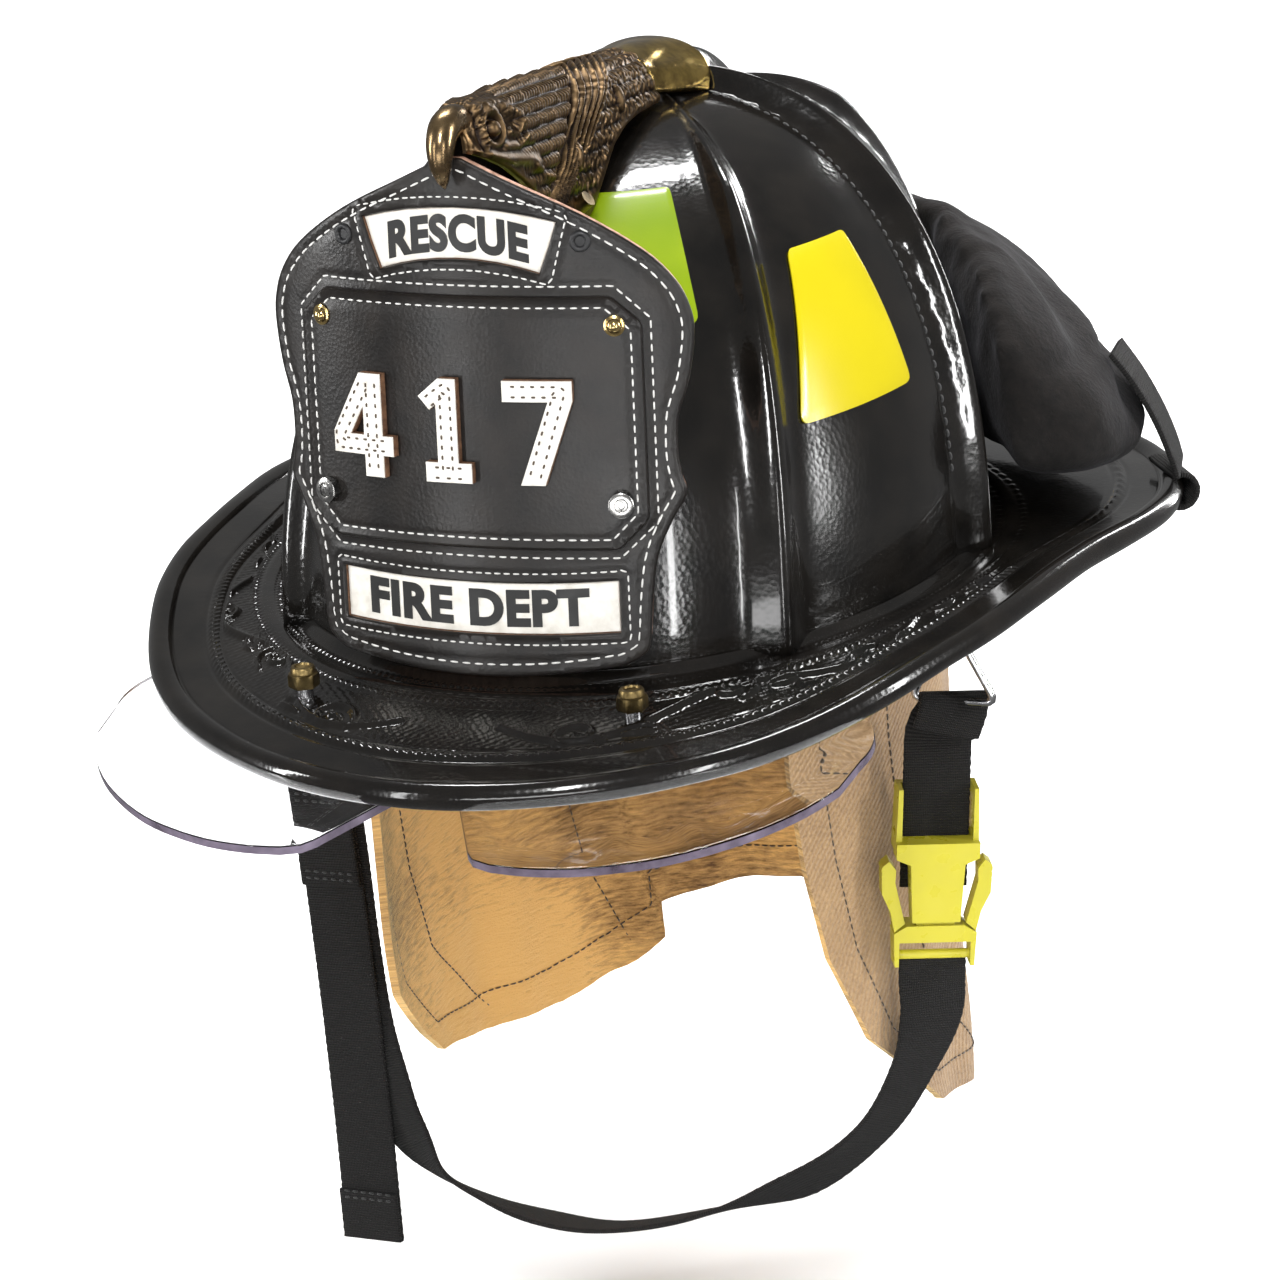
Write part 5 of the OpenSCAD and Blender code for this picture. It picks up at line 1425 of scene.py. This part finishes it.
def cloth_swell(verts, faces, name, cap, pressure=4.0, size=5.0):
    """Remeshes a closed form, swells it as cloth under pressure, and returns its points and faces."""
    me = bpy.data.meshes.new(name)
    me.from_pydata((np.asarray(verts) * MM).tolist(), [], [list(map(int, f)) for f in faces])
    bm = bmesh.new()
    bm.from_mesh(me)
    bmesh.ops.recalc_face_normals(bm, faces=bm.faces)
    bm.to_mesh(me)
    bm.free()
    obj = bpy.data.objects.new(name, me)
    bpy.context.collection.objects.link(obj)
    grid = obj.modifiers.new("grid", "REMESH")
    grid.mode, grid.voxel_size = "VOXEL", size * MM
    bpy.context.view_layer.update()
    me = bpy.data.meshes.new_from_object(obj.evaluated_get(bpy.context.evaluated_depsgraph_get()))
    obj.modifiers.clear()
    obj.data = me
    rest = np.array([v.co for v in me.vertices])
    cloth = obj.modifiers.new("cloth", "CLOTH")
    s = cloth.settings
    s.use_pressure, s.uniform_pressure_force = True, pressure
    s.effector_weights.gravity = 0
    s.quality = 5
    s.tension_stiffness = s.compression_stiffness = 12
    s.bending_stiffness = 0.4
    cloth.point_cache.frame_start, cloth.point_cache.frame_end = 1, 14
    for frame_number in range(1, 15):
        bpy.context.scene.frame_set(frame_number)
    moved = bpy.data.meshes.new_from_object(obj.evaluated_get(bpy.context.evaluated_depsgraph_get()))
    obj.modifiers.clear()
    bpy.context.scene.frame_set(1)
    now = np.array([v.co for v in moved.vertices])
    step = now - rest
    far = np.linalg.norm(step, axis=1, keepdims=True)
    rest = rest + step * np.minimum(1, cap * MM / np.maximum(far, 1e-9))
    faces = [list(p.vertices) for p in me.polygons]
    bpy.data.objects.remove(obj)
    return rest / MM, faces


def build_cover():
    t = np.linspace(COVER_FROM + 1, 360 - COVER_FROM - 1, 60)
    k = np.linspace(0, 1, 40, endpoint=False)
    tt, kk = np.meshgrid(t, k, indexing="ij")
    p = cover_at(tt, kk, 3.0)
    faces = quads(len(t), len(k), True).tolist()
    n = (len(t) - 1) * len(k)
    faces += [list(range(len(k)))[::-1], list(range(n, n + len(k)))]
    verts, faces = cloth_swell(p.reshape(-1, 3), faces, "cover_form", 6.0, 3.5, 4.5)
    # folds gathered towards the strap over the brim, and a drawn-in mouth seam
    t = np.degrees(np.arctan2(verts[:, 0], -verts[:, 1])) % 360
    rad = np.hypot(verts[:, 0], verts[:, 1])
    outward = np.stack([verts[:, 0] / rad, verts[:, 1] / rad, 0 * rad], -1)
    reach = rad - crown_radius(t)
    open_side = np.clip((reach - 16) / 12, 0, 1)
    pull = np.exp(-((t - 139) / 26) ** 2) + 0.5 * np.exp(-((t - 221) / 26) ** 2) + 0.25
    lean = (t - 139) * 1.2 - (verts[:, 2] - 40) * 0.9
    crease = np.sin(lean * 0.20 + 1.6 * np.sin(verts[:, 2] * 0.07)) + 0.5 * np.sin(lean * 0.47 + verts[:, 2] * 0.12)
    seam = np.exp(-((verts[:, 2] - 47 + 6 * np.sin(np.radians(t) * 3)) / 1.8) ** 2)
    verts = verts + outward * (open_side * (2.3 * crease * pull - 2.6 * seam))[:, None]
    cover = piece("goggle_cover_cloth", verts, faces, [COVER], replaces=("goggle_cover",), slot="black_cloth")
    sub = cover.modifiers.new("smooth", "SUBSURF")
    sub.levels = sub.render_levels = 1


def build_pads():
    lo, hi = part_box("brow_pad")
    lo, hi = np.array(lo) / MM, np.array(hi) / MM
    inner = (78.0 - 4.1, 98.0 - 4.1)
    t = np.linspace(-59.5, 59.5, 150)
    z = np.linspace(lo[2] + 0.3, hi[2] - 0.3, 30)
    tt, zz = np.meshgrid(t, z)
    v = (zz - z[0]) / (z[-1] - z[0])
    crown = (1 - np.abs(2 * v - 1) ** 3) * (1 - np.abs(tt / 59.5) ** 24)
    quilt = 1 - 0.55 * np.exp(-((np.abs((tt + 7.5) % 15 - 7.5)) / 0.8) ** 2)
    thick = 0.9 + 3.0 * crown * quilt
    a = np.radians(tt)

    def at(depth):
        return np.stack([(78 - 0.15 - depth) * np.sin(a), -(98 - 0.15 - depth) * np.cos(a), zz], -1)
    verts, faces, marks = closed_sheet(at(thick), at(0 * thick))
    pad = piece("brow_cushion", verts, faces, [PAD], replaces=("brow_pad",), slot="pad_leather")
    lo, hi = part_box("crown_pad")
    lo, hi = np.array(lo) / MM, np.array(hi) / MM
    mid = (lo + hi) / 2
    r, rings = (hi[0] - lo[0]) / 2, []
    for h, share in ((0.5, 0.02), (0.48, 0.35), (0.44, 0.7), (0.34, 0.9), (0.12, 0.99), (-0.12, 0.99), (-0.34, 0.9),
                     (-0.44, 0.7), (-0.48, 0.35), (-0.5, 0.02)):
        q = np.linspace(0, 2 * math.pi, 72, endpoint=False)
        dimple = 1 - 0.35 * np.abs(np.cos(q * 4)) ** 12 * (share > 0.3)
        rings.append(np.stack([mid[0] + r * share * np.cos(q), mid[1] + r * share * np.sin(q),
                               mid[2] + (hi[2] - lo[2]) * h * dimple], -1))
    verts = np.vstack(rings)
    faces = quads(len(rings), 72, True).tolist() + [list(range(72))[::-1], list(range(9 * 72, 10 * 72))]
    pad = piece("crown_cushion", verts, faces, [COVER], replaces=("crown_pad",), slot="black_cloth")
    sub = pad.modifiers.new("smooth", "SUBSURF")
    sub.levels = sub.render_levels = 1


# ------------------------------------------------------------------ small hardware and CAD nodes


def build_hardware():
    lo, hi = (np.array(v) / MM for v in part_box("bracket_nuts"))
    parts = []
    nut = [(5.2, 0, True), (5.6, 0.5, True), (5.6, 3.4, True), (5.2, 4.0, False), (4.5, 4.3, False), (4.4, 5.6, False),
           (4.0, 6.1, False), (2.9, 6.2, False), (2.6, 5.6, False), (0.3, 5.2, False)]
    grow = min(1.0, (hi[0] - lo[0]) / 2 - 53 + 0)
    for side in (-1, 1):
        verts, faces = lathe(nut, 48)
        scale = np.array([0.85, 0.85, (hi[2] - lo[2]) / 6.2])
        parts.append((verts * scale + [side * 53, -137, lo[2]], faces))
    piece("bracket_domed_nuts", *join(parts), [AGED_BRASS], replaces=("bracket_nuts",), slot="aged_brass", sharp=35)
    # tape loop over the brim edge
    t = 126.0
    p = (brim_at(t, 1.0, 2.0) + np.array([math.sin(math.radians(t)), -math.cos(math.radians(t)), 0]) * 0.9 * EDGE_ROLL_R)
    along = np.array([math.cos(math.radians(t)), math.sin(math.radians(t)), 0])
    out = np.array([math.sin(math.radians(t)), -math.cos(math.radians(t)), 0])
    q = np.linspace(math.radians(120), math.radians(-150), 24)
    loop = p + 5.6 * (np.cos(q)[:, None] * out + np.sin(q)[:, None] * np.array([0, 0, 1.0]))
    face = np.cos(q)[:, None] * out + np.sin(q)[:, None] * np.array([0, 0, 1.0])
    up_end = loop[0] + np.array([-out[0] * 10, -out[1] * 10, 9.0])
    strap("cover_tab_webbing", [webbing(loop, face, 24, 1.8)], "helmet", ("cover_tab",))
    lo, hi = (np.array(v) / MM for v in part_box("cover_strap"))
    route = [(129.5, 93, 44), (136.5, 93.5, 34), (142.5, 94.5, 22), (146.5, 96, 10), (148, 96.5, 3.5)]
    face = [(1, 0.25, 0.8), (1, 0.25, 0.5), (1, 0.25, 0.3), (1, 0.25, 0.1), (1, 0.25, 0)]
    strap("cover_webbing", [webbing(route, face, 26, 2.0)],
          "helmet", ("cover_strap",))


CAD_MATERIALS = {
    STEEL: ["lens_bracket_left", "lens_bracket_right", "lens_pin_left", "lens_pin_right", "lens_clip_left",
            "lens_clip_right", "lens_rivets_left", "lens_rivets_right", "bracket_bolts", "strap_staples", "edge_wire"],
    AGED_BRASS: ["crest_screws", "rear_hanger_plate", "rear_screw", "rear_hanger_ring"],
    FOAM: ["impact_cap"],
    BLACK_PLASTIC: ["headband", "ratchet_housing", "ratchet_knob", "band_tail_left", "band_tail_right"],
    WEBBING: ["crown_straps"],
    YELLOW_PLASTIC: ["buckle_plug", "plug_arm_front", "plug_arm_rear", "buckle_socket"],
}
BEVELLED = {"buckle_plug": 0.35, "plug_arm_front": 0.3, "plug_arm_rear": 0.3, "buckle_socket": 0.35,
            "ratchet_knob": 0.5, "ratchet_housing": 0.6, "lens_bracket_left": 0.25, "lens_bracket_right": 0.25,
            "lens_clip_left": 0.2, "lens_clip_right": 0.2, "strap_staples": 0.25, "rear_hanger_plate": 0.25}


def finish_cad_nodes():
    for mat, names in CAD_MATERIALS.items():
        for name in names:
            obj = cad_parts[name]
            obj.data.materials.clear()
            obj.data.materials.append(mat)
            for poly in obj.data.polygons:
                poly.use_smooth = True
            if name in BEVELLED:
                bevel = obj.modifiers.new("bevel", "BEVEL")
                bevel.width, bevel.segments, bevel.limit_method = BEVELLED[name] * MM, 2, "ANGLE"
                bevel.angle_limit = math.radians(35)
                bevel.use_clamp_overlap = True
            obj.data.set_sharp_from_angle(angle=math.radians(32))


# ------------------------------------------------------------------ stage


def softbox(name, place, aim, size, power, color=(1, 1, 1), shape="RECTANGLE"):
    data = bpy.data.lights.new(name, "AREA")
    data.shape, data.size, data.size_y = shape, size[0], size[1]
    data.energy, data.color = power, color
    obj = bpy.data.objects.new(name, data)
    bpy.context.collection.objects.link(obj)
    obj.location = place
    obj.rotation_euler = (Vector(aim) - Vector(place)).to_track_quat("-Z", "Y").to_euler()
    return obj


def build_stage():
    floor_z = -0.27
    n = 24
    verts, faces = [], []
    profile = [(-3.0, floor_z), (2.2, floor_z)] + [
        (2.2 + 1.4 * math.sin(q), floor_z + 1.4 * (1 - math.cos(q))) for q in np.linspace(0.1, 1.57, 12)] + [(3.6, 4.5)]
    a = math.radians(AZIMUTH)
    back, side = np.array([-math.sin(a), math.cos(a)]), np.array([math.cos(a), math.sin(a)])
    for x in (-5, 5):
        for y, z in profile:
            verts.append((*(side * x + back * y), z))
    m = len(profile)
    faces = [(k, k + 1, m + k + 1, m + k) for k in range(m - 1)]
    me = bpy.data.meshes.new("studio_floor")
    me.from_pydata(verts, [], faces)
    floor = bpy.data.objects.new("studio_floor", me)
    bpy.context.collection.objects.link(floor)
    s = Shade("floor_paper", (0.93, 0.93, 0.93), 0.8)
    s.put("Base Color", s.mix(s.ramp(s.noise(3, 3), 0.3, 0.7), (0.92, 0.92, 0.92), (0.94, 0.94, 0.94)))
    me.materials.append(s.mat)
    for p in me.polygons:
        p.use_smooth = True
    floor.visible_glossy = False
    world = bpy.data.worlds.new("studio")
    bpy.context.scene.world = world
    world.use_nodes = True
    world.node_tree.nodes["Background"].inputs["Color"].default_value = (1, 1, 1, 1)
    world.node_tree.nodes["Background"].inputs["Strength"].default_value = 0.2
    middle = (0.0, 0.0, 0.02)
    softbox("key", (0.45, -1.5, 1.2), middle, (0.13, 0.7), 20)
    softbox("shield_glow", (-0.64, -1.42, 0.12), (0, 0, 0.06), (0.10, 1.1), 5)
    softbox("strip_right", (1.5, 0.15, 0.45), middle, (0.10, 0.9), 12)
    softbox("strip_front", (1.15, -1.1, 0.2), middle, (0.06, 0.8), 5)
    softbox("strip_left", (-1.2, -0.7, 0.35), middle, (0.10, 0.8), 8)
    softbox("top", (-0.3, 0.5, 1.5), middle, (0.8, 0.16), 14)
    softbox("low_fill", (0.3, -1.6, -0.12), (0, 0, -0.12), (0.9, 0.2), 5)
    glow = softbox("floor_glow", (0.0, 1.2, 1.9), (0.0, 1.4, -0.27), (2.4, 1.4), 75)
    front = softbox("floor_front", (0.0, -0.2, 2.6), (0.0, -0.2, -0.27), (2.4, 1.6), 40)
    glow.visible_glossy = front.visible_glossy = False
    rim = softbox("rim", (0.42, 1.6, 0.3), middle, (0.12, 1.1), 10)
    rim.visible_camera = False


build_crown()
build_brim()
build_shield()
build_crest()
build_markers()
build_lenses()
build_curtain()
build_straps()
build_rings()
build_cover()
build_pads()
build_hardware()
finish_cad_nodes()
build_stage()

bpy.context.scene.view_settings.view_transform = "Standard"
